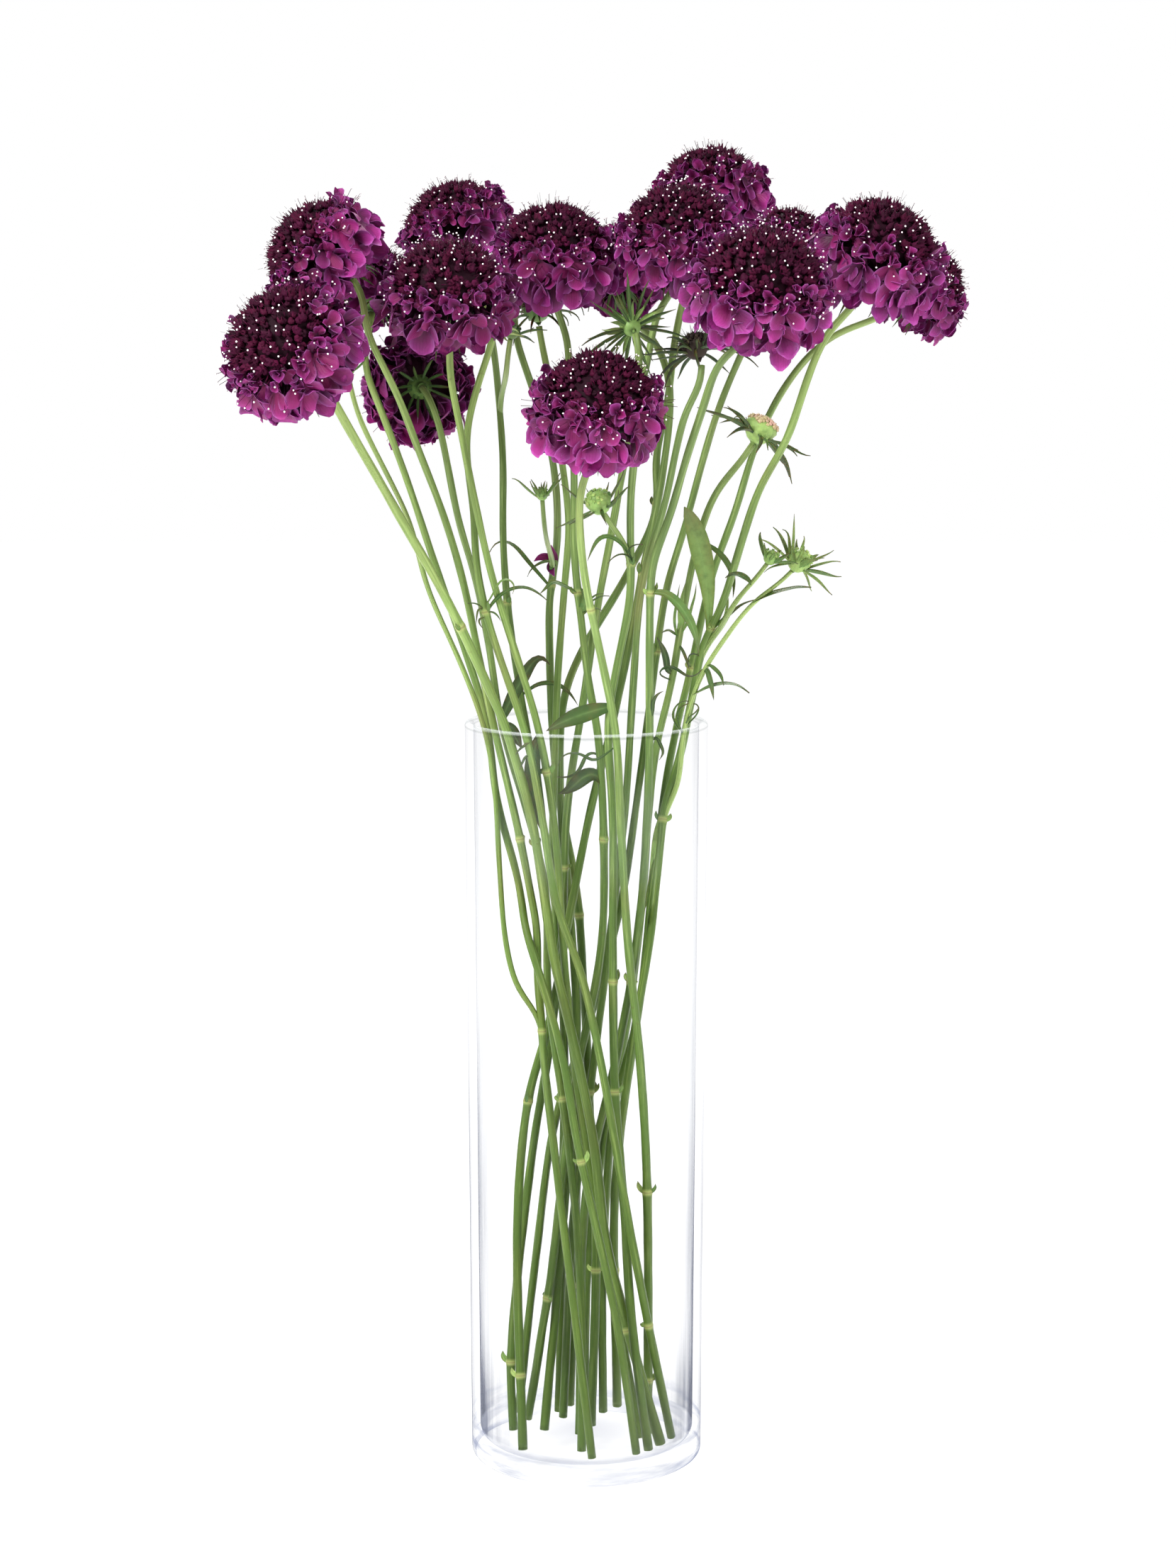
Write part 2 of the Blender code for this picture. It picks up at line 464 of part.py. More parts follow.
def blade(points, width, face):
    """Closed lens-section leaf along points; width tapers to both ends."""
    n = len(points)
    tan = np.gradient(points, axis=0)
    tan /= np.linalg.norm(tan, axis=1)[:, None]
    verts, faces = [], []
    for i in range(n):
        t = i / (n - 1)
        w = 0.5 * width * (0.30 + 0.70 * math.sin(math.pi * min(1.0, t * 0.95 + 0.12)) ** 0.8) * (1 - t ** 6 * 0.93)
        front = np.array([0.0, -1.0, 0.0])
        up = np.array([0.0, 0.0, 1.0])
        normal = unit(face * front + (1 - face) * up)
        side = unit(np.cross(tan[i], normal))
        normal = np.cross(side, tan[i])
        h = 0.45 * (1 - 0.5 * t)
        for p in (side * w, normal * h, -side * w, -normal * h):
            verts.append(points[i] + p)
    for i in range(n - 1):
        for k in range(4):
            m = (k + 1) % 4
            faces.append((i * 4 + k, i * 4 + m, (i + 1) * 4 + m, (i + 1) * 4 + k))
    faces.append((3, 2, 1, 0))
    faces.append(tuple(range((n - 1) * 4, n * 4)))
    return verts, faces


def join(target, tool):
    """Boolean union of tool into target."""
    mod = target.modifiers.new("union", "BOOLEAN")
    mod.operation = "UNION"
    mod.solver = "EXACT"
    mod.object = tool
    deps = bpy.context.evaluated_depsgraph_get()
    mesh = bpy.data.meshes.new_from_object(target.evaluated_get(deps))
    target.modifiers.remove(mod)
    old = target.data
    target.data = mesh
    mesh.name = target.name
    bpy.data.meshes.remove(old)
    bpy.data.objects.remove(tool, do_unlink=True)


# ---- the vase ----
def vase():
    def r(z):
        return VASE_R_BASE + (VASE_R_TOP - VASE_R_BASE) * z / VASE_H
    prof = [(r(0) - FOOT_ROUND, 0.0), (r(0) - 0.7, 0.7), (r(FOOT_ROUND), FOOT_ROUND)]
    prof += [(r(VASE_H - RIM_ROUND), VASE_H - RIM_ROUND), (r(VASE_H) - 0.9, VASE_H - 0.2)]
    prof += [(r(VASE_H) - WALL + 0.9, VASE_H - 0.2), (r(VASE_H) - WALL, VASE_H - RIM_ROUND)]
    prof += [(r(FLOOR_T) - WALL, FLOOR_T + 4.0), (r(FLOOR_T) - WALL - 3.2, FLOOR_T)]
    count = 40
    rings = [[(q * math.cos(2 * math.pi * i / count), q * math.sin(2 * math.pi * i / count), z) for i in range(count)] for q, z in prof]
    verts, faces = [], []
    for ring in rings:
        verts += ring
    for k in range(len(rings) - 1):
        for i in range(count):
            j = (i + 1) % count
            faces.append((k * count + i, k * count + j, (k + 1) * count + j, (k + 1) * count + i))
    faces.append(tuple(reversed(range(count))))
    faces.append(tuple(range((len(rings) - 1) * count, len(rings) * count)))
    finish("vase", verts, faces, GLASS)


# ---- flower heads ----
def flower(key):
    c, n, _, r = head_frame(key)
    around = 20
    dr, du = DOME_R * r, DOME_UP * r
    rings = []
    for lat in (0.0, 24.0, 48.0, 70.0):
        q, z = dr * math.cos(math.radians(lat)), 0.35 + du * math.sin(math.radians(lat))
        rings.append([(q * math.cos(2 * math.pi * i / 14), q * math.sin(2 * math.pi * i / 14), z) for i in range(14)])
    verts, faces = lathe(rings, c, n, ((0, 0, 0.35), (0, 0, du + 0.35)))
    finish("flower_%s_centre" % key, verts, faces, CENTRE)
    seed = int(key)
    prof = [(0.60, -0.02, 0.0), (0.86, -0.20, 0.02), (0.96, -RUFF_DROOP, 0.07), (0.80, -RUFF_DROOP + 0.02, 0.05), (0.42, -0.34, 0.0)]
    rings = []
    for q, z, wave in prof:
        ring = []
        for i in range(around):
            t = 2 * math.pi * i / around
            w = wave * (math.cos(math.pi * i) + 0.5 * math.sin(3 * t + seed))
            ring.append((r * (q + 0.5 * w) * math.cos(t), r * (q + 0.5 * w) * math.sin(t), r * (z + w)))
        rings.append(ring)
    verts, faces = lathe(rings, c, n, ((0, 0, -0.02 * r), (0, 0, -CALYX * r)))
    finish("flower_%s_petals" % key, verts, faces, PETAL)


def bare_head(name, c, n, core, reach, count, mat):
    """A bud or bare head: a rounded core in a ring of pointed bracts."""
    rings = []
    for z, q, spike in ((-0.75, 0.55, 0.0), (-0.25, 0.95, 1.0), (0.0, 1.0, 0.0), (0.55, 0.80, 0.0)):
        ring = []
        for i in range(2 * count):
            t = math.pi * i / count
            out = core * q if not spike or i % 2 else reach
            ring.append((out * math.cos(t), out * math.sin(t), core * z + (reach * 0.10 if spike and i % 2 == 0 else 0.0)))
        rings.append(ring)
    verts, faces = lathe(rings, c, n, ((0, 0, -core), (0, 0, core * 0.95)))
    return finish(name, verts, faces, mat)


# ---- stems with their shoots, buds and leaves ----
def on_path(path, z):
    """The point of a path at elevation height z."""
    e = np.array([to_elevation(p)[1] for p in path])
    order = np.argsort(e)
    return np.array([np.interp(z, e[order], path[order, k]) for k in range(3)])


def leaf_points(leaf, n=7):
    start = on_path(PATHS[leaf["on"]], leaf["pts"][0][1])
    flat = spline(leaf["pts"], n)
    out = []
    for i, (x, z) in enumerate(flat):
        t = i / (n - 1)
        out.append(slide(x, z, start[1] + leaf["dy"] * t ** 0.8))
    shift = start - out[0]
    return np.array([p + shift * max(0.0, 1 - 2.5 * i / (n - 1)) for i, p in enumerate(out)])


def stem(key):
    s = STEMS[key]
    path = PATHS[key]
    own = s.get("tip") in OWN
    if "tip" in s:
        c, n, core, reach, count = tip_frame(s["tip"])
        if own:
            bare_head(s["tip"], c, n, core, reach, count, SPENT if s["tip"] in ("spent_head", "seed_head") else GREEN)
        else:
            extra = bare_head("bud", c, n, core, reach, count, GREEN)
    ob = finish("stem_" + key, *tube(thin(path), STEM_TOP_R * s.get("fat", 1), STEM_R * s.get("fat", 1)), STEM)
    if "tip" in s and not own:
        join(ob, extra)
    for k, shoot in SHOOTS.items():
        if shoot["on"] != key:
            continue
        c, n, core, reach, count = tip_frame(shoot["tip"])
        join(ob, finish("shoot", *tube(thin(PATHS[k]), SHOOT_R * 0.85, SHOOT_R), STEM))
        join(ob, bare_head("bud", c, n, core, reach, count, GREEN))
    for leaf in LEAVES:
        if leaf["on"] == key or leaf["on"].startswith(key) and leaf["on"][2:]:
            join(ob, finish("leaf", *blade(leaf_points(leaf), leaf["w"], leaf["face"]), GREEN))
    ob.data.shade_smooth()
    ob.data.set_sharp_from_angle(angle=math.radians(45))


vase()
for key in HEADS:
    flower(key)
for key in STEMS:
    stem(key)
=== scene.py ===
"""Scabiosa in a glass vase: the visual model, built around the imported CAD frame.

The layout below is the same rule the CAD model follows, so each head, bud,
leaf and stem lies on its CAD solid.
"""

import math

import bpy
import numpy as np
from mathutils import Euler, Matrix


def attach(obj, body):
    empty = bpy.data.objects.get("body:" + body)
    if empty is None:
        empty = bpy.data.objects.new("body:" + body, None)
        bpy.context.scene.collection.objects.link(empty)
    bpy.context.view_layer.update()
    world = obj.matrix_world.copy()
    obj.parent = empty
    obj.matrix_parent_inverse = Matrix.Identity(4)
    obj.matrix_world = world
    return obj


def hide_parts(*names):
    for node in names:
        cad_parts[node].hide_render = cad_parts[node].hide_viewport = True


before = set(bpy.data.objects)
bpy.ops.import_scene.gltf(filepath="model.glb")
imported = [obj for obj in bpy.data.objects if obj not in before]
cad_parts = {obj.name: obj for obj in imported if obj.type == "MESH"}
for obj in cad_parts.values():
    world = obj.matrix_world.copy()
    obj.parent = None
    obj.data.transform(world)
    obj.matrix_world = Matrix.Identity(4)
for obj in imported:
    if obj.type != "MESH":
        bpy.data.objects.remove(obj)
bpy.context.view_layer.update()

MM = 0.001

# ---- driving dimensions, mm ----
VASE_H = 311.4
VASE_R_TOP = 50.0
VASE_R_BASE = 48.4
WALL = 3.6
FLOOR_T = 7.5
RIM_ROUND = 1.2
FOOT_ROUND = 2.5
STEM_R = 1.92        # at the cut foot
STEM_TOP_R = 1.45    # under the flower
SHOOT_R = 1.15
STEM_ROOM = 2.35     # half the width a stem keeps to itself, bark and bumps too
SHOOT_ROOM = 1.45
GAP = 0.9            # clear space kept between stems
EYE = (0.7, -1292.0, 467.7)
LEVEL = 4.0          # spacing of the levels at which stems are eased apart
LEAD = 11.0          # length over which a stem turns to meet its head

# ---- flower heads: centre in elevation (x, z), depth y, facing, ruff radius ----
HEADS = {
    "01": ((-121, 465), -86, (-0.50, -0.62, 0.60), 30.5),
    "02": ((-108, 501), -37, (-0.80, -0.10, 0.60), 28.5),
    "03": ((-85, 489), 14, (0.10, 0.35, 0.93), 22.0),
    "04": ((-56, 487), -46, (-0.02, -0.50, 0.86), 28.5),
    "05": ((-53, 512), 37, (-0.45, 0.05, 0.89), 27.5),
    "06": ((-69, 448), 27, (-0.22, 0.95, 0.05), 25.5),
    "07": ((-13, 502), -3, (0.02, -0.25, 0.97), 29.0),
    "08": ((13, 497), 48, (0.05, 0.35, 0.93), 25.0),
    "09": ((37, 510), -20, (-0.10, -0.35, 0.93), 27.5),
    "10": ((50, 526), 46, (-0.10, 0.15, 0.98), 27.5),
    "11": ((71, 489), -77, (0.12, -0.48, 0.87), 31.0),
    "12": ((82, 506), 10, (0.20, 0.05, 0.97), 20.0),
    "13": ((118, 502), -34, (0.35, -0.22, 0.91), 30.5),
    "14": ((136, 489), 34, (0.75, 0.15, 0.64), 24.0),
    "15": ((5, 441), -76, (0.05, -0.42, 0.91), 29.5),
    "16": ((-30, 493), 75, (-0.10, 0.60, 0.79), 18.0),
}
DOME_UP = 0.60       # height of the domed centre over the ruff, in ruff radii
DOME_R = 0.76
RUFF_DROOP = 0.58
CALYX = 0.56         # depth of the calyx under the ruff, in ruff radii

# ---- stems: elevation points from the top down, and depth at the top, rim,
# neck (where the bunch is tightest) and foot ----
STEMS = {
    "01": dict(head="01", fat=1.18, pts=[(-105, 445), (-88, 416), (-75, 393), (-56, 359), (-39, 322), (-33, 307), (-23, 272), (-13, 209), (-6, 179), (3, 134), (8, 91), (17, 54), (33, -4)], y=(-62, -27, -12, -30)),
    "02": dict(head="02", pts=[(-92, 477), (-76, 443), (-69, 424), (-58, 395), (-50, 367), (-44, 337), (-39, 313), (-27, 260), (-22, 230), (-19, 181), (-15, 143), (-5, 59), (3, -10)], y=(-14, -14, -10, -41)),
    "03": dict(head="03", pts=[(-89, 469), (-90, 456), (-84, 440), (-73, 410), (-62, 376), (-51, 344), (-41, 311), (-37, 278), (-29, 248), (-23, 218), (-10, 170), (-4, 134), (13, 54), (22, -8)], y=(36, 1, -27, -36), via=[(452, 2), (392, 0)]),
    "04": dict(head="06", pts=[(-68, 448), (-61, 437), (-57, 419), (-52, 393), (-45, 369), (-40, 343), (-35, 310), (-25, 275), (-17, 242), (-16, 197), (-10, 152), (-5, 109), (-2, 60), (-2, -3)], y=(-14, 10, -3, -29), via=[(430, -4), (400, 2)]),
    "05": dict(tip="bracts_1", pts=[(-40, 467), (-45, 445), (-49, 426), (-46, 398), (-45, 376), (-41, 355), (-32, 327), (-25, 306), (-18, 269), (-12, 233), (-3, 208), (5, 173), (20, 86), (37, 0)], y=(-24, -33, -22, -20)),
    "06": dict(head="04", pts=[(-58, 470), (-56, 457), (-52, 435), (-46, 404), (-39, 372), (-29, 339), (-20, 309), (-13, 266), (-10, 221), (-6, 176), (1, 125), (10, 76), (23, 4)], y=(-36, -26, -7, -12)),
    "07": dict(head="05", pts=[(-43, 486), (-38, 466), (-34, 421), (-34, 386), (-32, 356), (-27, 322), (-19, 275), (-12, 227), (-6, 179), (-4, 131), (-5, 75), (-7, 18)], y=(18, 16, 15, 29)),
    "08": dict(head="16", pts=[(-32, 478), (-28, 465), (-15, 425), (-12, 403), (-12, 383), (-15, 363), (-15, 337), (-14, 307), (-11, 278), (-4, 240), (-1, 197), (1, 156), (4, 88), (2, 8)], y=(34, 26, 22, 2)),
    "09": dict(tip="spent_head", pts=[(-20, 476), (-17, 465), (-14, 443), (-9, 411), (-7, 392), (-9, 366), (-12, 326), (-13, 293), (-14, 263), (-12, 215), (-9, 173), (-10, 122), (-11, 44), (-12, 15)], y=(2, 10, 14, 21), via=[(440, 16), (392, 13)]),
    "10": dict(head="07", pts=[(-9, 487), (-8, 473), (-7, 446), (-5, 415), (-5, 380), (-2, 352), (1, 326), (5, 304), (7, 227), (3, 196), (-2, 173), (-8, 137), (-15, 75), (-25, 12)], y=(-6, -17, 4, 11)),
    "11": dict(head="15", pts=[(4, 429), (-1, 416), (-3, 398), (-1, 372), (7, 333), (12, 307), (14, 272), (17, 221), (22, 173), (25, 128), (26, 80), (26, 5)], y=(-60, -34, -14, -7)),
    "12": dict(head="09", pts=[(29, 480), (26, 464), (15, 415), (10, 387), (4, 355), (-1, 321), (-8, 275), (-10, 221), (-16, 170), (-22, 134), (-32, 39), (-31, 7)], y=(-16, 0, 10, -3)),
    "13": dict(tip="involucre", pts=[(18, 466), (21, 455), (21, 435), (18, 403), (18, 381), (18, 362), (13, 336), (9, 311), (11, 269), (11, 209), (12, 155), (16, 103), (19, 57), (27, -6)], y=(-40, -28, -8, -37), via=[(430, -25), (380, -24)]),
    "14": dict(head="08", pts=[(17, 493), (22, 483), (29, 464), (34, 448), (30, 406), (23, 373), (18, 345), (10, 307), (3, 280), (-7, 230), (-16, 182), (-24, 154), (-29, 102), (-27, -3)], y=(20, 12, 6, -31)),
    "15": dict(head="10", pts=[(45, 503), (39, 482), (35, 461), (33, 441), (28, 418), (29, 398), (17, 372), (-8, 326), (-11, 287), (-7, 233), (-4, 185), (-8, 122), (-18, 7)], y=(14, 18, 8, -3)),
    "16": dict(tip="seed_head", pts=[(45, 455), (41, 441), (36, 420), (32, 400), (23, 369), (19, 322), (16, 275), (9, 215), (3, 167), (-5, 106), (-10, 13)], y=(-16, 14, 13, 13)),
    "17": dict(head="11", pts=[(62, 473), (54, 459), (48, 441), (41, 420), (34, 395), (27, 376), (26, 354), (26, 306), (25, 269), (21, 218), (12, 167), (0, 112), (-3, 6)], y=(-60, -34, 5, -8)),
    "18": dict(head="12", pts=[(72, 480), (61, 457), (53, 437), (46, 413), (40, 390), (33, 367), (28, 333), (22, 287), (14, 233), (2, 188), (-13, 143), (-21, 86), (-29, 15)], y=(-4, 18, 18, 20)),
    "19": dict(tip="bud_right", pts=[(67, 424), (62, 418), (52, 404), (45, 383), (39, 352), (35, 327), (28, 296), (24, 245), (18, 191), (9, 143), (1, 88), (-1, 10)], y=(16, 8, 20, 8)),
    "20": dict(head="14", pts=[(112, 484), (99, 468), (88, 458), (77, 442), (68, 422), (61, 398), (51, 370), (43, 333), (34, 293), (28, 248), (21, 185), (12, 150), (7, 82), (7, 15)], y=(28, 22, 2, 20), via=[(440, 26), (400, 24)]),
    "21": dict(head="13", pts=[(109, 490), (99, 472), (91, 455), (81, 425), (71, 408), (64, 387), (56, 360), (47, 337), (41, 307), (32, 268), (26, 218), (19, 173), (12, 112), (13, 18)], y=(-22, -6, -10, 28)),
}

# side shoots: they leave their stem at the last point
SHOOTS = {
    "02a": dict(on="02", tip="bud_hidden", pts=[(-96, 450), (-93, 437), (-83, 416), (-72, 393), (-65, 366), (-52, 336), (-43, 312), (-38, 287), (-36, 251), (-33, 215), (-26, 191), (-19, 180)], y=(-34, -6, -12)),
    "07a": dict(on="07", tip="bracts_2", pts=[(-31, 466), (-32, 456), (-34, 436)], y=(8, 12)),
    "08a": dict(on="08", tip="bud_left", pts=[(-18, 399), (-17, 392), (-16, 384), (-14, 368)], y=(12, 22)),
    "13a": dict(on="13", tip="bud_ball", pts=[(8, 397), (13, 392), (17, 383), (18, 372)], y=(-34, -28)),
    "21a": dict(on="21", tip="bud_long", pts=[(83, 373), (68, 360), (56, 344), (47, 330), (40.5, 309), (38, 287), (32, 266)], y=(-18, -8, -8)),
    "21b": dict(on="21", tip="bud_small", pts=[(73, 374), (67.5, 368.5), (63, 363.5), (59.5, 358), (56.5, 352), (53.5, 344), (50, 334)], y=(-26, -16, -10)),
}

# buds and bare heads: centre in elevation, facing, core radius, bract reach, bracts
TIPS = {
    "bracts_1": ((-37, 471), -24, (0.2, -0.3, 0.9), 4.0, 9.0, 7),
    "bracts_2": ((-30, 470), 8, (0.2, 0.1, 0.9), 3.5, 10.0, 6),
    "spent_head": ((-20, 480), 17, (-0.1, -0.2, 0.97), 8.0, 11.0, 9),
    "involucre": ((18, 472), -30, (-0.25, 0.85, 0.45), 7.0, 17.0, 10),
    "seed_head": ((44, 464), -14, (-0.3, 0.3, 0.9), 8.0, 17.0, 10),
    "bud_right": ((71, 431), 2, (0.45, 0.0, 0.87), 7.0, 17.0, 9),
    "bud_hidden": ((-97, 455), -34, (-0.2, 0.1, 0.97), 3.5, 7.0, 6),
    "bud_left": ((-18, 404), 12, (-0.05, 0.0, 1.0), 2.6, 7.0, 6),
    "bud_ball": ((5, 401), -30, (-0.35, -0.3, 0.88), 5.4, 13.0, 8),
    "bud_long": ((87, 377), -18, (0.55, -0.1, 0.83), 5.0, 15.0, 9),
    "bud_small": ((75.5, 378.5), -27, (0.5, -0.1, 0.86), 3.3, 8.0, 7),
}

OWN = ("spent_head", "involucre", "seed_head", "bud_right")  # the rest are joined to their stem

# leaves: elevation points from the stem outwards, depth offset from the stem at
# the tip, greatest width, how far the blade faces up (0) or the front (1)
LEAVES = [
    dict(on="13", pts=[(11, 317), (4, 315.5), (-4, 313), (-11, 310), (-16.5, 307)], dy=-6, w=7.0, face=0.85),
    dict(on="21", pts=[(53.5, 347.5), (52.5, 354), (50.7, 363), (48.9, 371.5), (47, 380), (44.5, 389), (42, 395.5), (40, 399)], dy=-16, w=8.8, face=0.95),
    dict(on="19", pts=[(46, 385), (50, 383.5), (53, 381.4), (56.4, 378), (59, 373.6), (60.5, 368.5), (60, 362)], dy=-6, w=2.6, face=0.5),
    dict(on="17", pts=[(25, 364), (31, 364.3), (35.6, 361.4), (40, 356.5), (43.2, 351), (45.3, 345), (46.2, 338)], dy=-6, w=4.0, face=0.6),
    dict(on="21a", pts=[(68, 360), (74, 363), (81, 365), (87, 366.3), (92, 366.2)], dy=-5, w=3.2, face=0.3),
    dict(on="21a", pts=[(44, 322), (50, 325), (56, 326.5), (62, 326), (67, 322.7)], dy=-10, w=3.4, face=0.3),
    dict(on="08", pts=[(-15, 366), (-20, 372), (-25, 378), (-29, 383), (-34, 385.5), (-38, 384), (-39.5, 380.5)], dy=-12, w=2.4, face=0.5),
    dict(on="13", pts=[(18, 377), (16, 382), (11, 386.5), (6, 387), (3, 383), (0.5, 377)], dy=-14, w=2.4, face=0.5),
    dict(on="10", pts=[(-4, 364), (-9, 366.5), (-14, 368.5), (-16, 366.3), (-19, 363.5)], dy=-12, w=2.6, face=0.4),
]


def slide(x, z, y):
    """The point at depth y on the line of sight through (x, z) of the elevation."""
    t = 1.0 + y / -EYE[1]
    return np.array([EYE[0] + (x - EYE[0]) * t, y, EYE[2] + (z - EYE[2]) * t])


def unit(v):
    v = np.asarray(v, float)
    return v / np.linalg.norm(v)


def spline(pts, n):
    """Centripetal Catmull-Rom curve through pts, at n even steps of length."""
    p = np.asarray(pts, float)
    p = np.vstack([2 * p[0] - p[1], p, 2 * p[-1] - p[-2]])
    k = np.concatenate([[0], np.cumsum(np.sqrt(np.linalg.norm(np.diff(p, axis=0), axis=1)) + 1e-9)])
    out = []
    for i in range(1, len(p) - 2):
        for t in np.linspace(k[i], k[i + 1], 24, endpoint=False):
            a = [(p[j] * (k[j + 1] - t) + p[j + 1] * (t - k[j])) / (k[j + 1] - k[j]) for j in (i - 1, i, i + 1)]
            b = [(a[j] * (k[i + 1 + j] - t) + a[j + 1] * (t - k[i - 1 + j])) / (k[i + 1 + j] - k[i - 1 + j]) for j in (0, 1)]
            out.append((b[0] * (k[i + 1] - t) + b[1] * (t - k[i])) / (k[i + 1] - k[i]))
    out.append(p[-2])
    out = np.array(out)
    s = np.concatenate([[0], np.cumsum(np.linalg.norm(np.diff(out, axis=0), axis=1))])
    at = np.linspace(0, s[-1], n)
    return np.stack([np.interp(at, s, out[:, c]) for c in range(out.shape[1])], axis=1)


def ease(z, knots):
    """Depth at height z from (z, y) knots, with no overshoot between them."""
    knots = sorted(knots)
    zs, ys = [k[0] for k in knots], [k[1] for k in knots]
    z = min(max(z, zs[0]), zs[-1])
    for i in range(len(zs) - 1):
        if z <= zs[i + 1]:
            t = (z - zs[i]) / max(1e-6, zs[i + 1] - zs[i])
            s = t * t * (3 - 2 * t)
            t = 0.55 * t + 0.45 * s
            return ys[i] + (ys[i + 1] - ys[i]) * t
    return ys[-1]


def head_frame(key):
    """Centre and facing of a flower head, and the underside of its calyx."""
    (x, z), y, n, r = HEADS[key]
    c, n = slide(x, z, y), unit(n)
    return c, n, c - n * (CALYX * r + 0.6), r


def tip_frame(key):
    (x, z), y, n, core, reach, count = TIPS[key]
    return slide(x, z, y), unit(n), core, reach, count


def to_elevation(p):
    t = 1.0 + p[1] / -EYE[1]
    return EYE[0] + (p[0] - EYE[0]) / t, EYE[2] + (p[2] - EYE[2]) / t


def end_frame(s):
    """Where a stem ends under its head or bud, and the way the head faces."""
    if "head" in s:
        _, n, base, _ = head_frame(s["head"])
        return base, n
    c, n, core, _, _ = tip_frame(s["tip"])
    return c - n * (core + (0.5 if s["tip"] in OWN else -1.2)), n


def lead_in(path, end, n):
    """Path with its first LEAD of length bent to meet end squarely along n."""
    run = np.concatenate([[0], np.cumsum(np.linalg.norm(np.diff(path, axis=0), axis=1))])
    i = int(np.searchsorted(run, 1.9 * LEAD))
    i = min(max(i, 2), len(path) - 3)
    t = unit(path[i - 1] - path[i + 1])
    span = np.linalg.norm(path[i] - end)
    a, b, c, d = end, end - n * 0.42 * span, path[i] + t * 0.36 * span, path[i]
    u = np.linspace(0, 1, 9)[:-1, None]
    curve = (1 - u) ** 3 * a + 3 * u * (1 - u) ** 2 * b + 3 * u * u * (1 - u) * c + u ** 3 * d
    return np.vstack([curve, path[i:]])


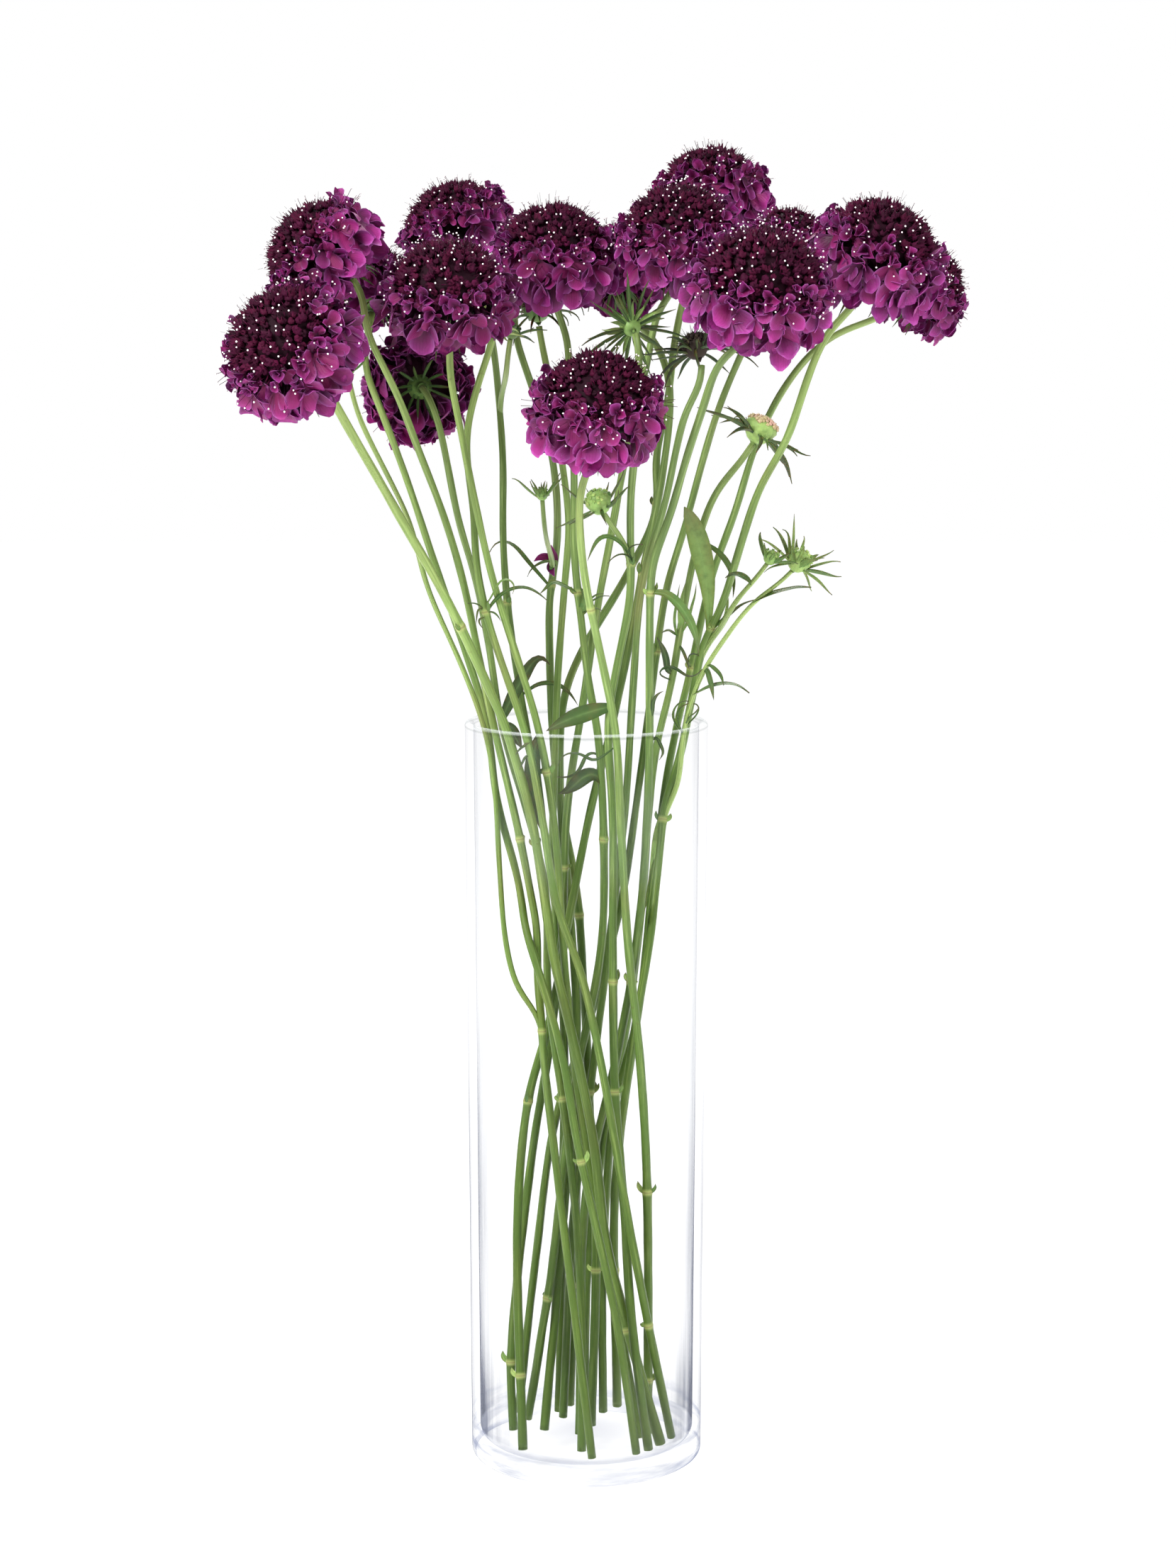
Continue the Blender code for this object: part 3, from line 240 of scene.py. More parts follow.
def settle():
    """Depth and place of every stem at every level, eased apart.

    Each stem is drawn at levels LEVEL apart. At each level two stems that are
    closer than their radii and GAP are pushed apart, mostly in depth; the
    pushes are smoothed along the stem, so it stays a smooth curve.
    """
    rows = {}
    for key, s in list(STEMS.items()) + list(SHOOTS.items()):
        pts = [tuple(map(float, p)) for p in s["pts"]]
        top_y = s["y"][0]
        end, n = end_frame(s)
        ex, ez = to_elevation(end)
        while len(pts) > 3 and pts[0][1] > ez - 6:
            pts.pop(0)
        pts.insert(0, (ex, ez))
        lead = end - n * LEAD
        top_y = lead[1]
        curve = spline(pts, 260)
        order = np.argsort(curve[:, 1])
        cx, cz = curve[order, 0], curve[order, 1]
        levels = np.arange(math.ceil(cz[0] / LEVEL), math.floor(cz[-1] / LEVEL) + 1)
        z = levels * LEVEL
        z = np.concatenate([[cz[0]], z[(z > cz[0] + 0.8) & (z < cz[-1] - 0.8)], [cz[-1]]])
        x = np.interp(z, cz, cx)
        if key in STEMS:
            knots = [(cz[0], s["y"][3]), (182, s["y"][2]), (307, s["y"][1]), (cz[-1], top_y)]
            mid = 0.42 * s["y"][1] + 0.58 * top_y
            knots += s.get("via", [(0.5 * (cz[-1] + 307), mid)])
        else:
            knots = [(zz, yy) for zz, yy in zip(np.linspace(cz[-1], cz[0], len(s["y"])), (top_y, *s["y"][1:]))]
        y = np.array([ease(v, knots) for v in z])
        rows[key] = dict(z=z, x=x.copy(), x0=x.copy(), y=y, y0=y.copy(), r=STEM_ROOM if key in STEMS else SHOOT_ROOM)
    keys = list(rows)
    lo = min(r["z"][0] for r in rows.values())
    hi = max(r["z"][-1] for r in rows.values())
    grid = np.arange(lo, hi + LEVEL, LEVEL)
    n, m = len(grid), len(keys)
    live = np.zeros((n, m), bool)
    X, Y = np.zeros((n, m)), np.zeros((n, m))
    for j, k in enumerate(keys):
        r = rows[k]
        live[:, j] = (grid >= r["z"][0] - 0.5 * LEVEL) & (grid <= r["z"][-1] + 0.5 * LEVEL)
        X[:, j] = np.interp(grid, r["z"], r["x"])
        Y[:, j] = np.interp(grid, r["z"], r["y"])
    X0, Y0 = X.copy(), Y.copy()
    rad = np.array([rows[k]["r"] for k in keys])
    need0 = rad[:, None] + rad[None, :] + GAP
    both = live[:, :, None] & live[:, None, :]
    both &= ~np.eye(m, dtype=bool)[None]
    scale = np.ones((n, m, m))
    parent = {}
    for j, k in enumerate(keys):
        if k in SHOOTS:
            i = keys.index(SHOOTS[k]["on"])
            parent[j] = i
            zj = rows[k]["z"][0]
            ramp = np.clip((grid - zj) / 22.0, 0, 1)
            scale[:, i, j] = scale[:, j, i] = ramp
    T = 1.0 + Y0 / -EYE[1]
    dx0 = (X0 * T)[:, :, None] - (X0 * T)[:, None, :]
    dy0 = Y0[:, :, None] - Y0[:, None, :]
    weight = np.exp(-(dx0 / 6.0) ** 2) * both
    sign = np.sign((dy0 * weight).sum(0) + 1e-6 * (np.arange(m)[:, None] - np.arange(m)[None, :]))
    for step in range(1100):
        T = 1.0 + Y / -EYE[1]
        XW = X * T
        mx, my = np.gradient(XW, axis=0) / LEVEL, np.gradient(Y, axis=0) / LEVEL
        dx = XW[:, :, None] - XW[:, None, :]
        dy = Y[:, :, None] - Y[:, None, :]
        h = np.sqrt(dx ** 2 + dy ** 2) + 1e-6
        amx, amy = 0.5 * (mx[:, :, None] + mx[:, None, :]), 0.5 * (my[:, :, None] + my[:, None, :])
        along = (amx * dx + amy * dy) / h
        need = need0[None] * scale / np.sqrt(np.maximum(0.25, 1 - along ** 2 / (1 + amx ** 2 + amy ** 2)))
        over = np.where(both, np.maximum(0.0, need - h), 0.0)
        over = np.where(h * 0 + scale < 0.05, 0.0, over)
        uy = np.where(np.abs(dy) > 0.4 * h, np.sign(dy), sign[None]) * np.maximum(0.55, np.abs(dy) / h)
        ux = 0.45 * dx / h
        py, px = (over * uy).sum(2), (over * ux).sum(2)
        for _ in range(3):
            py[1:-1] = 0.25 * py[:-2] + 0.5 * py[1:-1] + 0.25 * py[2:]
            px[1:-1] = 0.25 * px[:-2] + 0.5 * px[1:-1] + 0.25 * px[2:]
        Y += 0.36 * py
        X += 0.22 * px
        X += 0.03 * (X0 - X)
        Y[1:-1] += 0.12 * (0.5 * (Y[:-2] + Y[2:]) - Y[1:-1]) * (live[:-2] & live[2:])
        # the glass
        T = 1.0 + Y / -EYE[1]
        zt = EYE[2] + (grid[:, None] - EYE[2]) * T
        inner = VASE_R_BASE + (VASE_R_TOP - VASE_R_BASE) * zt / VASE_H - WALL
        room = inner - rad[None] - 1.3 - np.clip((FLOOR_T + 14 - zt) / 3.0, 0, 3.2)
        rr = np.sqrt((X * T) ** 2 + Y ** 2)
        out = (zt < VASE_H + 3) & (rr > room)
        f = np.where(out, room / np.maximum(rr, 1e-6), 1.0)
        Y = np.where(out, Y * (1 + 0.9 * (f - 1)), Y)
        X = np.where(out, X * (1 + 0.6 * (f - 1)), X)
        # the flower end stays on its calyx
        for j, k in enumerate(keys):
            s = STEMS.get(k) or SHOOTS[k]
            fade = np.clip((grid - (rows[k]["z"][-1] - 26.0)) / 26.0, 0, 1)
            Y[:, j] += fade * (Y0[:, j] - Y[:, j]) * 0.6
            X[:, j] += fade * (X0[:, j] - X[:, j]) * 0.6
            if j in parent:
                i = parent[j]
                fade = np.clip(1 - (grid - rows[k]["z"][0]) / 20.0, 0, 1)
                Y[:, j] += fade * (Y[:, i] - Y[:, j]) * 0.5
                X[:, j] += fade ** 3 * (X[:, i] - X[:, j]) * 0.5
    paths = {}
    for j, k in enumerate(keys):
        z = rows[k]["z"]
        x, y = np.interp(z, grid, X[:, j]), np.interp(z, grid, Y[:, j])
        if j in parent:
            i = parent[j]
            x[0], y[0] = np.interp(z[0], grid, X[:, i]), np.interp(z[0], grid, Y[:, i])
        path = np.array([slide(a, b, c) for a, b, c in zip(x, z, y)])[::-1]
        if k in STEMS:
            path = path[path[:, 2] > FLOOR_T + 6]
            d = path[-1] - path[-3]
            d /= abs(d[2])
            foot = path[-1] + d * (path[-1][2] - FLOOR_T - 1.6)
            path = np.vstack([path, foot])
        paths[k] = lead_in(path, *end_frame(STEMS.get(k) or SHOOTS[k]))
    return paths


PATHS = settle()


def basis(n):
    n = unit(n)
    a = np.cross(n, (0.0, 1.0, 0.0))
    if np.linalg.norm(a) < 0.2:
        a = np.cross(n, (1.0, 0.0, 0.0))
    a = unit(a)
    return a, np.cross(n, a), n


def on_path(path, z):
    """The point of a path at elevation height z."""
    e = np.array([to_elevation(p)[1] for p in path])
    order = np.argsort(e)
    return np.array([np.interp(z, e[order], path[order, k]) for k in range(3)])


def leaf_points(leaf, n=7):
    start = on_path(PATHS[leaf["on"]], leaf["pts"][0][1])
    flat = spline(leaf["pts"], n)
    out = []
    for i, (x, z) in enumerate(flat):
        t = i / (n - 1)
        out.append(slide(x, z, start[1] + leaf["dy"] * t ** 0.8))
    shift = start - out[0]
    return np.array([p + shift * max(0.0, 1 - 2.5 * i / (n - 1)) for i, p in enumerate(out)])


# ---- mesh building ----
class Mesh:
    """Points, faces and a colour attribute gathered from many small shapes."""

    def __init__(self):
        self.v, self.f, self.fx, self.m, self.n = [], [], [], [], 0

    def add(self, verts, faces, fx, mat=0):
        """verts (K,3) in mm, faces a list of arrays of 3 or 4 columns, fx (K,4)."""
        verts = np.asarray(verts, float).reshape(-1, 3)
        self.v.append(verts)
        self.fx.append(np.broadcast_to(np.asarray(fx, float), (len(verts), 4)))
        for f in faces:
            f = np.asarray(f, int)
            self.f.append(f + self.n)
            self.m.append(np.full(len(f), mat))
        self.n += len(verts)

    def build(self, name, mats):
        v = np.concatenate(self.v) * MM
        total = np.concatenate([np.full(len(f), f.shape[1]) for f in self.f])
        loops = np.concatenate([f.reshape(-1) for f in self.f])
        start = np.concatenate([[0], np.cumsum(total)[:-1]])
        me = bpy.data.meshes.new(name)
        me.vertices.add(len(v))
        me.vertices.foreach_set("co", v.astype(np.float32).reshape(-1))
        me.loops.add(len(loops))
        me.loops.foreach_set("vertex_index", loops.astype(np.int32))
        me.polygons.add(len(total))
        me.polygons.foreach_set("loop_start", start.astype(np.int32))
        me.polygons.foreach_set("material_index", np.concatenate(self.m).astype(np.int32))
        me.update(calc_edges=True)
        me.validate()
        a = me.attributes.new("fx", "FLOAT_COLOR", "POINT")
        a.data.foreach_set("color", np.concatenate(self.fx).astype(np.float32).reshape(-1))
        me.shade_smooth()
        for m in mats:
            me.materials.append(m)
        ob = bpy.data.objects.new(name, me)
        bpy.context.scene.collection.objects.link(ob)
        return ob


def norm(a):
    a = np.asarray(a, float)
    return a / np.maximum(1e-9, np.linalg.norm(a, axis=-1, keepdims=True))


def grid_faces(nu, nv, wrap_v=False):
    f = []
    for i in range(nu - 1):
        for j in range(nv if wrap_v else nv - 1):
            k = (j + 1) % nv
            f.append((i * nv + j, i * nv + k, (i + 1) * nv + k, (i + 1) * nv + j))
    return np.array(f)


def sheet_faces(nu, nv):
    """Faces of a closed thin sheet: a front grid, a back grid and the edge between."""
    front = grid_faces(nu, nv)
    back = front[:, ::-1] + nu * nv
    edge = [i for i in range(nv)] + [i * nv + nv - 1 for i in range(1, nu)]
    edge += [(nu - 1) * nv + j for j in range(nv - 2, -1, -1)] + [i * nv for i in range(nu - 2, 0, -1)]
    e = np.array(edge)
    side = np.stack([e, e + nu * nv, np.roll(e, -1) + nu * nv, np.roll(e, -1)], axis=1)
    return np.concatenate([front, back, side[:, ::-1]])


def repeat_faces(f, count, stride):
    return (f[None] + (np.arange(count) * stride)[:, None, None]).reshape(-1, f.shape[1])


def lobes(rng, o, h, m, L, W, curl, cup, ruffle, nu, nv, thick, tone, shape="petal", tipcurl=None, fold=0.0, twist=0.0, hue=None):
    """Many thin closed lobes at once. Row i starts at o[i], heads along h[i],
    faces m[i], and is L[i] long and W[i] wide. curl turns it away from m,
    fold creases it along its middle and twist turns it about its length."""
    n = len(o)
    L, W, curl, cup, ruffle, tone, fold, twist = (np.broadcast_to(np.asarray(x, float), (n,)) for x in (L, W, curl, cup, ruffle, tone, fold, twist))
    h = norm(h)
    m = norm(m - (m * h).sum(1)[:, None] * h)
    s = np.cross(h, m)
    u = 1 - (1 - np.linspace(0, 1, nu)) ** (1.3 if shape == "petal" else 1.0)
    v = np.linspace(-1, 1, nv)
    ang = curl[:, None] * u ** 1.3
    if tipcurl is not None:
        ang = ang + np.asarray(tipcurl)[:, None] * np.clip((u - 0.6) / 0.4, 0, 1) ** 2
    d = np.cos(ang)[..., None] * h[:, None] - np.sin(ang)[..., None] * m[:, None]
    nn = np.cos(ang)[..., None] * m[:, None] + np.sin(ang)[..., None] * h[:, None]
    step = 0.5 * (d[:, 1:] + d[:, :-1]) * L[:, None, None] * np.diff(u)[None, :, None]
    P = o[:, None] + np.concatenate([np.zeros((n, 1, 3)), np.cumsum(step, axis=1)], axis=1)
    if shape == "petal":
        a = np.clip(u / 0.66, 0, 1)
        w = np.where(u < 0.66, 0.24 + 0.76 * a * a * (3 - 2 * a), np.sqrt(np.maximum(0, 1 - 0.64 * (np.maximum(0, u - 0.66) / 0.34) ** 2.4)))
    elif shape == "blade":
        w = 0.42 + 0.58 * np.sin(np.pi * np.clip(u * 0.9 + 0.12, 0, 1))
        w = w * np.sqrt(np.maximum(0.0016, 1 - u ** 3))
    elif shape == "bract":
        w = (0.30 + 0.70 * np.sin(np.pi * np.clip(u * 0.8 + 0.06, 0, 1))) * (1 - 0.94 * u ** 2.2)
    else:
        w = (0.75 + 0.25 * np.sin(np.pi * u)) * (1 - u ** 1.6 * 0.93)
    w = 0.5 * W[:, None] * w[None]
    ph = rng.uniform(0, 6.28, (n, 1, 1))
    fr = rng.uniform(0.7, 1.5, (n, 1, 1))
    U, V = u[None, :, None], v[None, None, :]
    tw = twist[:, None, None] * (U - 0.2)
    sv = s[:, None, None] * np.cos(tw)[..., None] + nn[:, :, None] * np.sin(tw)[..., None]
    nv3 = nn[:, :, None] * np.cos(tw)[..., None] - s[:, None, None] * np.sin(tw)[..., None]
    wave = np.sin(fr * V * 2.2 + ph) * 0.8 + 0.2 * np.sin(3.6 * V + 2 * ph + 3 * U)
    frill = np.sin(5.5 * U + 3 * ph + 2.4 * np.sign(V)) * np.abs(V) ** 1.5
    lift = (cup[:, None, None] * (V ** 2) + fold[:, None, None] * np.abs(V)) * w[:, :, None]
    lift = lift + ruffle[:, None, None] * W[:, None, None] * U ** 1.4 * ((0.25 + 0.75 * np.abs(V)) * wave + 0.7 * frill)
    side = V * w[:, :, None] * (1 - 0.30 * np.clip(fold[:, None, None], 0, 1))
    Q = P[:, :, None] + sv * side[..., None] + nv3 * lift[..., None]
    if shape == "petal":
        # each row bows back at its sides, so the end of the lobe is round
        Q = Q - d[:, :, None] * (0.12 * L[:, None, None] * V ** 2 * U ** 2.5)[..., None]
        nick = (rng.uniform(-1, 1, (n, 1, nv)) * 0.020 - 0.035 * np.cos(V * 1.5) ** 8) * L[:, None, None] * (U > 0.8)
        Q = Q + d[:, :, None] * nick[..., None]
    t = 0.5 * thick * (1 - 0.5 * np.abs(V) ** 3) * np.ones_like(U)
    off = nv3 * np.broadcast_to(t, (n, nu, nv))[..., None]
    verts = np.concatenate([(Q + off).reshape(n, -1, 3), (Q - off).reshape(n, -1, 3)], axis=1)
    fx = np.zeros((n, 2, nu, nv, 4))
    fx[..., 0] = U[:, None]
    fx[..., 1] = 0.5 + 0.5 * V[:, None]
    fx[..., 2] = rng.uniform(0, 1, (n, 1, 1, 1)) if hue is None else np.asarray(hue)[:, None, None, None]
    fx[..., 3] = tone[:, None, None, None]
    return verts.reshape(-1, 3), [repeat_faces(sheet_faces(nu, nv), n, 2 * nu * nv)], fx.reshape(-1, 4)


def stamp(tv, tf, o, R, scale, fx):
    """Copies of a small template: tv (K,3), tf list of faces, o (N,3), R (N,3,3) columns x,y,z."""
    n, k = len(o), len(tv)
    scale = np.asarray(scale, float)
    if scale.ndim == 1:
        scale = np.repeat(scale[:, None], 3, axis=1)
    v = o[:, None] + np.einsum("nij,nkj->nki", R, tv[None] * scale[:, None])
    out = np.broadcast_to(fx, (n, k, 4)) if np.ndim(fx) != 2 or len(fx) != n else np.broadcast_to(fx[:, None], (n, k, 4))
    return v.reshape(-1, 3), [repeat_faces(f, n, k) for f in tf], out.reshape(-1, 4)


def frames(z, spin):
    """(N,3,3) frames whose third column is z, turned by spin about it."""
    z = norm(z)
    ref = np.where(np.abs(z[:, 2:3]) > 0.9, np.array([[1.0, 0, 0]]), np.array([[0, 0, 1.0]]))
    x = norm(np.cross(ref, z))
    y = np.cross(z, x)
    c, s = np.cos(spin)[:, None], np.sin(spin)[:, None]
    return np.stack([c * x + s * y, -s * x + c * y, z], axis=2)


def bud_template():
    """A small shut floret: a tapered cup with four pointed lobes folded at the top."""
    rows = [(0.55, 0.50, 0.0, 0.0), (1.0, 0.80, 0.75, 0.60), (0.62, 0.30, 1.45, 1.00)]
    v = []
    for a, b, za, zb in rows:
        for i in range(8):
            t = math.pi * i / 4
            r, z = (a, za) if i % 2 == 0 else (b, zb)
            v.append((r * math.cos(t), r * math.sin(t), z))
    v.append((0, 0, 0.95))
    v.append((0, 0, 0))
    quads = grid_faces(3, 8, wrap_v=True)
    tris = [(16 + i, 16 + (i + 1) % 8, 24) for i in range(8)] + [((i + 1) % 8, i, 25) for i in range(8)]
    return np.array(v), [quads, np.array(tris)]


def bead_template():
    """A shut floret seen small: a cup with three folded lobes standing on it."""
    v = []
    for r, z, k, point in ((0.62, 0.0, 0.0, 0.0), (1.0, 0.70, 0.5, 0.0), (0.74, 1.15, 0.0, 0.42)):
        v += [((r - point * 0.6 * (i % 2)) * math.cos(math.pi / 3 * (i + k)), (r - point * 0.6 * (i % 2)) * math.sin(math.pi / 3 * (i + k)), z + point * (0.9 if i % 2 == 0 else -0.9)) for i in range(6)]
    v += [(0, 0, 0.62), (0, 0, -0.2)]
    tris = [(12 + i, 12 + (i + 1) % 6, 18) for i in range(6)] + [((i + 1) % 6, i, 19) for i in range(6)]
    return np.array(v), [grid_faces(3, 6, wrap_v=True), np.array(tris)]


def ball_template(nu=3, nv=6):
    v = [(0, 0, 1)]
    for i in range(1, nu):
        a = math.pi * i / nu
        v += [(math.sin(a) * math.cos(6.28318 * j / nv), math.sin(a) * math.sin(6.28318 * j / nv), math.cos(a)) for j in range(nv)]
    v.append((0, 0, -1))
    n = len(v)
    quads = grid_faces(nu - 1, nv, wrap_v=True)[:, ::-1] + 1
    tris = [(0, 1 + j, 1 + (j + 1) % nv) for j in range(nv)] + [(n - 1, n - 1 - nv + (j + 1) % nv, n - 1 - nv + j) for j in range(nv)]
    return np.array(v, float), [quads, np.array(tris)]


def rod(a, b, r0, r1, sides=4):
    """Many straight closed rods from a[i] to b[i]."""
    z = b - a
    R = frames(z, np.zeros(len(a)))
    t = 2 * np.pi * np.arange(sides) / sides
    ring = np.stack([np.cos(t), np.sin(t), 0 * t], axis=1)
    lo = a[:, None] + np.einsum("nij,kj->nki", R, ring * r0)
    hi = b[:, None] + np.einsum("nij,kj->nki", R, ring * r1)
    v = np.concatenate([lo, hi], axis=1)
    k = 2 * sides
    q = grid_faces(2, sides, wrap_v=True)
    caps = [np.arange(sides)[::-1][None], (np.arange(sides) + sides)[None]]
    return v.reshape(-1, 3), [repeat_faces(f, len(a), k) for f in [q] + caps]


BUD = bud_template()
BEAD = bead_template()
BALL = ball_template()
# ---- flower heads ----
def sphere_points(n, lo, hi, rng, jitter=0.25):
    """Points spread evenly over polar angles lo..hi (degrees from the top)."""
    a, b = math.cos(math.radians(lo)), math.cos(math.radians(hi))
    i = np.arange(n) + 0.5
    c = a + (b - a) * i / n
    th = np.arccos(np.clip(c + rng.normal(0, jitter / n, n), -1, 1))
    ph = i * 2.399963 + rng.normal(0, jitter * 0.35, n) + rng.uniform(0, 6.28)
    return th, ph


def on_core(th, ph, a, up, down):
    """Point and outward normal on the receptacle, an egg of radius a."""
    c = np.where(np.cos(th) > 0, up, down)
    p = np.stack([a * np.sin(th) * np.cos(ph), a * np.sin(th) * np.sin(ph), c * np.cos(th)], axis=1)
    n = norm(p / np.stack([a * a * np.ones_like(c), a * a * np.ones_like(c), c * c], axis=1))
    return p, n


# florets of the ruff: polar angle, count, size, spread of angle
WHORLS = ((156, 8, 1.0, 4), (132, 11, 0.98, 5), (116, 13, 1.05, 6), (102, 15, 1.02, 6), (89, 14, 0.86, 5), (76, 13, 0.56, 5))
# their lobes: turn about the tube, length, width, opening, fine or coarse
LOBES = ((0.0, 0.44, 0.28, 1.05, 0), (1.05, 0.37, 0.25, 1.0, 0), (-1.05, 0.37, 0.25, 1.0, 0), (2.35, 0.20, 0.17, 0.70, 1), (-2.35, 0.20, 0.17, 0.70, 1))


# painted shade: heads whose ruff lies deep in the bunch get their petal tone scaled down, for the shade there
BUNCH_SHADE = {"04": 0.55, "03": 0.75, "05": 0.85, "07": 0.85, "08": 0.8, "12": 0.7, "14": 0.8, "16": 0.7, "06": 0.85}


def head_mesh(key, mats_petal, mats_dome):
    c, n, base, R = head_frame(key)
    rng = np.random.default_rng(400 + int(key))
    A = np.stack([*basis(n)], axis=1)
    world = lambda p: c + p @ A.T
    fill = min(1.0, (R / 27.0) ** 1.2) * 1.0
    a, up, down = 0.66 * R, 0.58 * R, 0.36 * R
    petals, dome = Mesh(), Mesh()
    Z = np.array([0, 0, 1.0])
    fall = A.T @ np.array([0, 0, -1.0])        # the way down, seen by the head

    # outer florets in whorls, from below upwards
    for w, (deg, count, size, spread) in enumerate(WHORLS):
        count = max(6, int(round(count * min(1.0, (R / 26.0) ** 0.6))))
        th = np.radians(deg + rng.normal(0, spread, count))
        ph = 2 * np.pi * (np.arange(count) + 0.5 * w + rng.normal(0, 0.20, count)) / count
        p, nn = on_core(th, ph, a * 0.96, up, down)
        outward = norm(p * [1, 1, 0])
        d = norm(nn + (0.30 + 1.3 * (deg > 130)) * outward + rng.normal(0, 0.16, (count, 3)) + 0.16 * fall * (deg > 80))
        away = norm(np.cross(np.cross(d, -Z), d) + 1e-6)   # across the tube, towards the stem
        side = np.cross(d, away)
        tube = 0.10 * R * size
        o = p + d * tube
        k = size * rng.uniform(0.84, 1.16, count)
        # petal tone: random per floret, and scaled down on heads deep in the bunch as painted shade
        tone = np.clip((0.06 + 0.62 * size + rng.normal(0, 0.20, count)) * BUNCH_SHADE.get(key, 1.0), 0, 1)
        # the tube itself
        petals.add(*shift(rod(world(p - d * 0.06 * R), world(o + d * 0.02 * R), 0.030 * R, 0.052 * R, 5), (0.05, 0.5, 0.4, 0.30)))
        for phi, ln, wd, open_, res in LOBES:
            if size < 0.6 and res == 0 and phi:
                ln, wd = ln * 0.85, wd * 0.85
            f = phi + rng.normal(0, 0.20, count)
            t = norm(np.cos(f)[:, None] * away + np.sin(f)[:, None] * side)
            op = open_ * (0.62 + 0.22 * (deg < 105)) + rng.normal(0, 0.26, count)
            op = op * (1 - 0.75 * (deg > 130))
            h = norm(np.cos(op)[:, None] * d + np.sin(op)[:, None] * t + 0.22 * fall * (res == 0) * (deg > 80))
            m = np.cos(op)[:, None] * t * -1 + np.sin(op)[:, None] * d
            L = ln * R * k * rng.uniform(0.82, 1.18, count)
            W = wd * R * k * rng.uniform(0.80, 1.25, count)
            nu, nv = (4, 3) if res else (5, 3) if size < 0.6 else (6, 4)
            hue = rng.uniform(0.35, 1, count) if deg < 100 else rng.uniform(0, 0.85, count)
            v, fc, fx = lobes(rng, o, h, m, L, W, rng.uniform(0.05, 1.25, count), rng.uniform(-0.55, 0.30, count),
                              rng.uniform(0.02, 0.075, count), nu, nv, 0.24, tone * rng.uniform(0.80, 1.12, count),
                              tipcurl=rng.uniform(-0.5, 0.8, count), fold=rng.uniform(-0.15, 0.25, count), twist=rng.normal(0, 0.35, count), hue=hue)
            petals.add(world(v), fc, fx)

    # receptacle under the florets, closed at both ends
    rows, around = 9, 16
    th = np.linspace(0.02, math.pi - 0.02, rows)
    g = [on_core(np.full(around, t), 2 * np.pi * np.arange(around) / around, a * 0.95, up * 0.96, down)[0] for t in th]
    v = np.concatenate(g + [np.array([[0, 0, up * 0.96], [0, 0, -down]])])
    top, bot = rows * around, rows * around + 1
    tris = np.array([((i + 1) % around, i, top) for i in range(around)] + [((rows - 1) * around + i, (rows - 1) * around + (i + 1) % around, bot) for i in range(around)])
    dome.add(world(v), [grid_faces(rows, around, wrap_v=True), tris[:, ::-1]], (0.0, 0.5, 0.5, 0.0))

    # shut florets packed over the top, larger and redder towards the ruff
    count = int(340 * fill)
    th, ph = sphere_points(count, 0, 88, rng, 0.6)
    p, nn = on_core(th, ph, a, up, down)
    z = norm(nn + rng.normal(0, 0.20, (count, 3)))
    size = R * (0.045 + 0.009 * (th / 1.3) ** 2) * rng.uniform(0.75, 1.25, count) * (1 if fill > 0.6 else 1.35)
    edge = np.clip((th - 0.70) / 0.75, 0, 1)
    rnd = rng.uniform(0, 1, count)
    fx = np.stack([np.full(count, 0.6), rng.uniform(0, 1, count), rnd, np.clip(0.22 + 0.48 * edge * rng.uniform(0.3, 1, count) + rng.normal(0, 0.10, count), 0, 1)], axis=1)
    sc = np.stack([size, size, size * rng.uniform(0.8, 1.9, count)], axis=1)
    dome.add(*stamp(BEAD[0], BEAD[1], world(p - z * 0.02 * R), np.einsum("ij,njk->nik", A, frames(z, rng.uniform(0, 6, count))), sc, fx))

    # half-open florets between the domed top and the ruff
    count = int(34 * fill)
    th, ph = sphere_points(count, 64, 88, rng)
    p, nn = on_core(th, ph, a, up, down)
    for lobe in range(3):
        f = lobe * 2.1 + rng.normal(0, 0.3, count)
        t = frames(nn, f)[:, :, 0]
        op = rng.uniform(0.15, 0.95, count)
        h = np.cos(op)[:, None] * nn + np.sin(op)[:, None] * t
        m = -np.cos(op)[:, None] * t + np.sin(op)[:, None] * nn
        s = R * rng.uniform(0.10, 0.19, count) * (0.8 + 0.5 * (th > 1.2))
        v, fc, fx = lobes(rng, p + nn * 0.05 * R, h, m, s, s * 0.80, rng.uniform(-0.5, 0.7, count), 0.4, 0.08, 5, 3, 0.22, 0.35 + 0.35 * rng.uniform(0, 1, count), fold=rng.uniform(0, 0.8, count))
        petals.add(world(v), fc, fx)

    # pointed calyx teeth standing between the shut florets
    count = int(150 * fill)
    th, ph = sphere_points(count, 0, 86, rng, 2.0)
    p, nn = on_core(th, ph, a, up, down)
    z = norm(nn + rng.normal(0, 0.26, (count, 3)))
    v, f = rod(world(p), world(p + z * (R * rng.uniform(0.07, 0.135, count))[:, None]), 0.36, 0.08, 3)
    fx = np.zeros((count, 6, 4))
    fx[..., 0], fx[..., 1], fx[..., 2] = 0.4, 0.5, rng.uniform(0, 1, (count, 1))
    fx[..., 3] = rng.uniform(0.15, 0.75, (count, 1))
    dome.add(v, f, fx.reshape(-1, 4))

    # a few hair-fine bristles beyond them
    count = int(30 * fill)
    th, ph = sphere_points(count, 0, 78, rng, 2.0)
    p, nn = on_core(th, ph, a, up, down)
    z = norm(nn + rng.normal(0, 0.12, (count, 3)))
    dome.add(*shift(rod(world(p), world(p + z * (R * rng.uniform(0.14, 0.25, count))[:, None]), 0.10, 0.03, 3), (0.2, 0.5, 0.5, 0.10)))

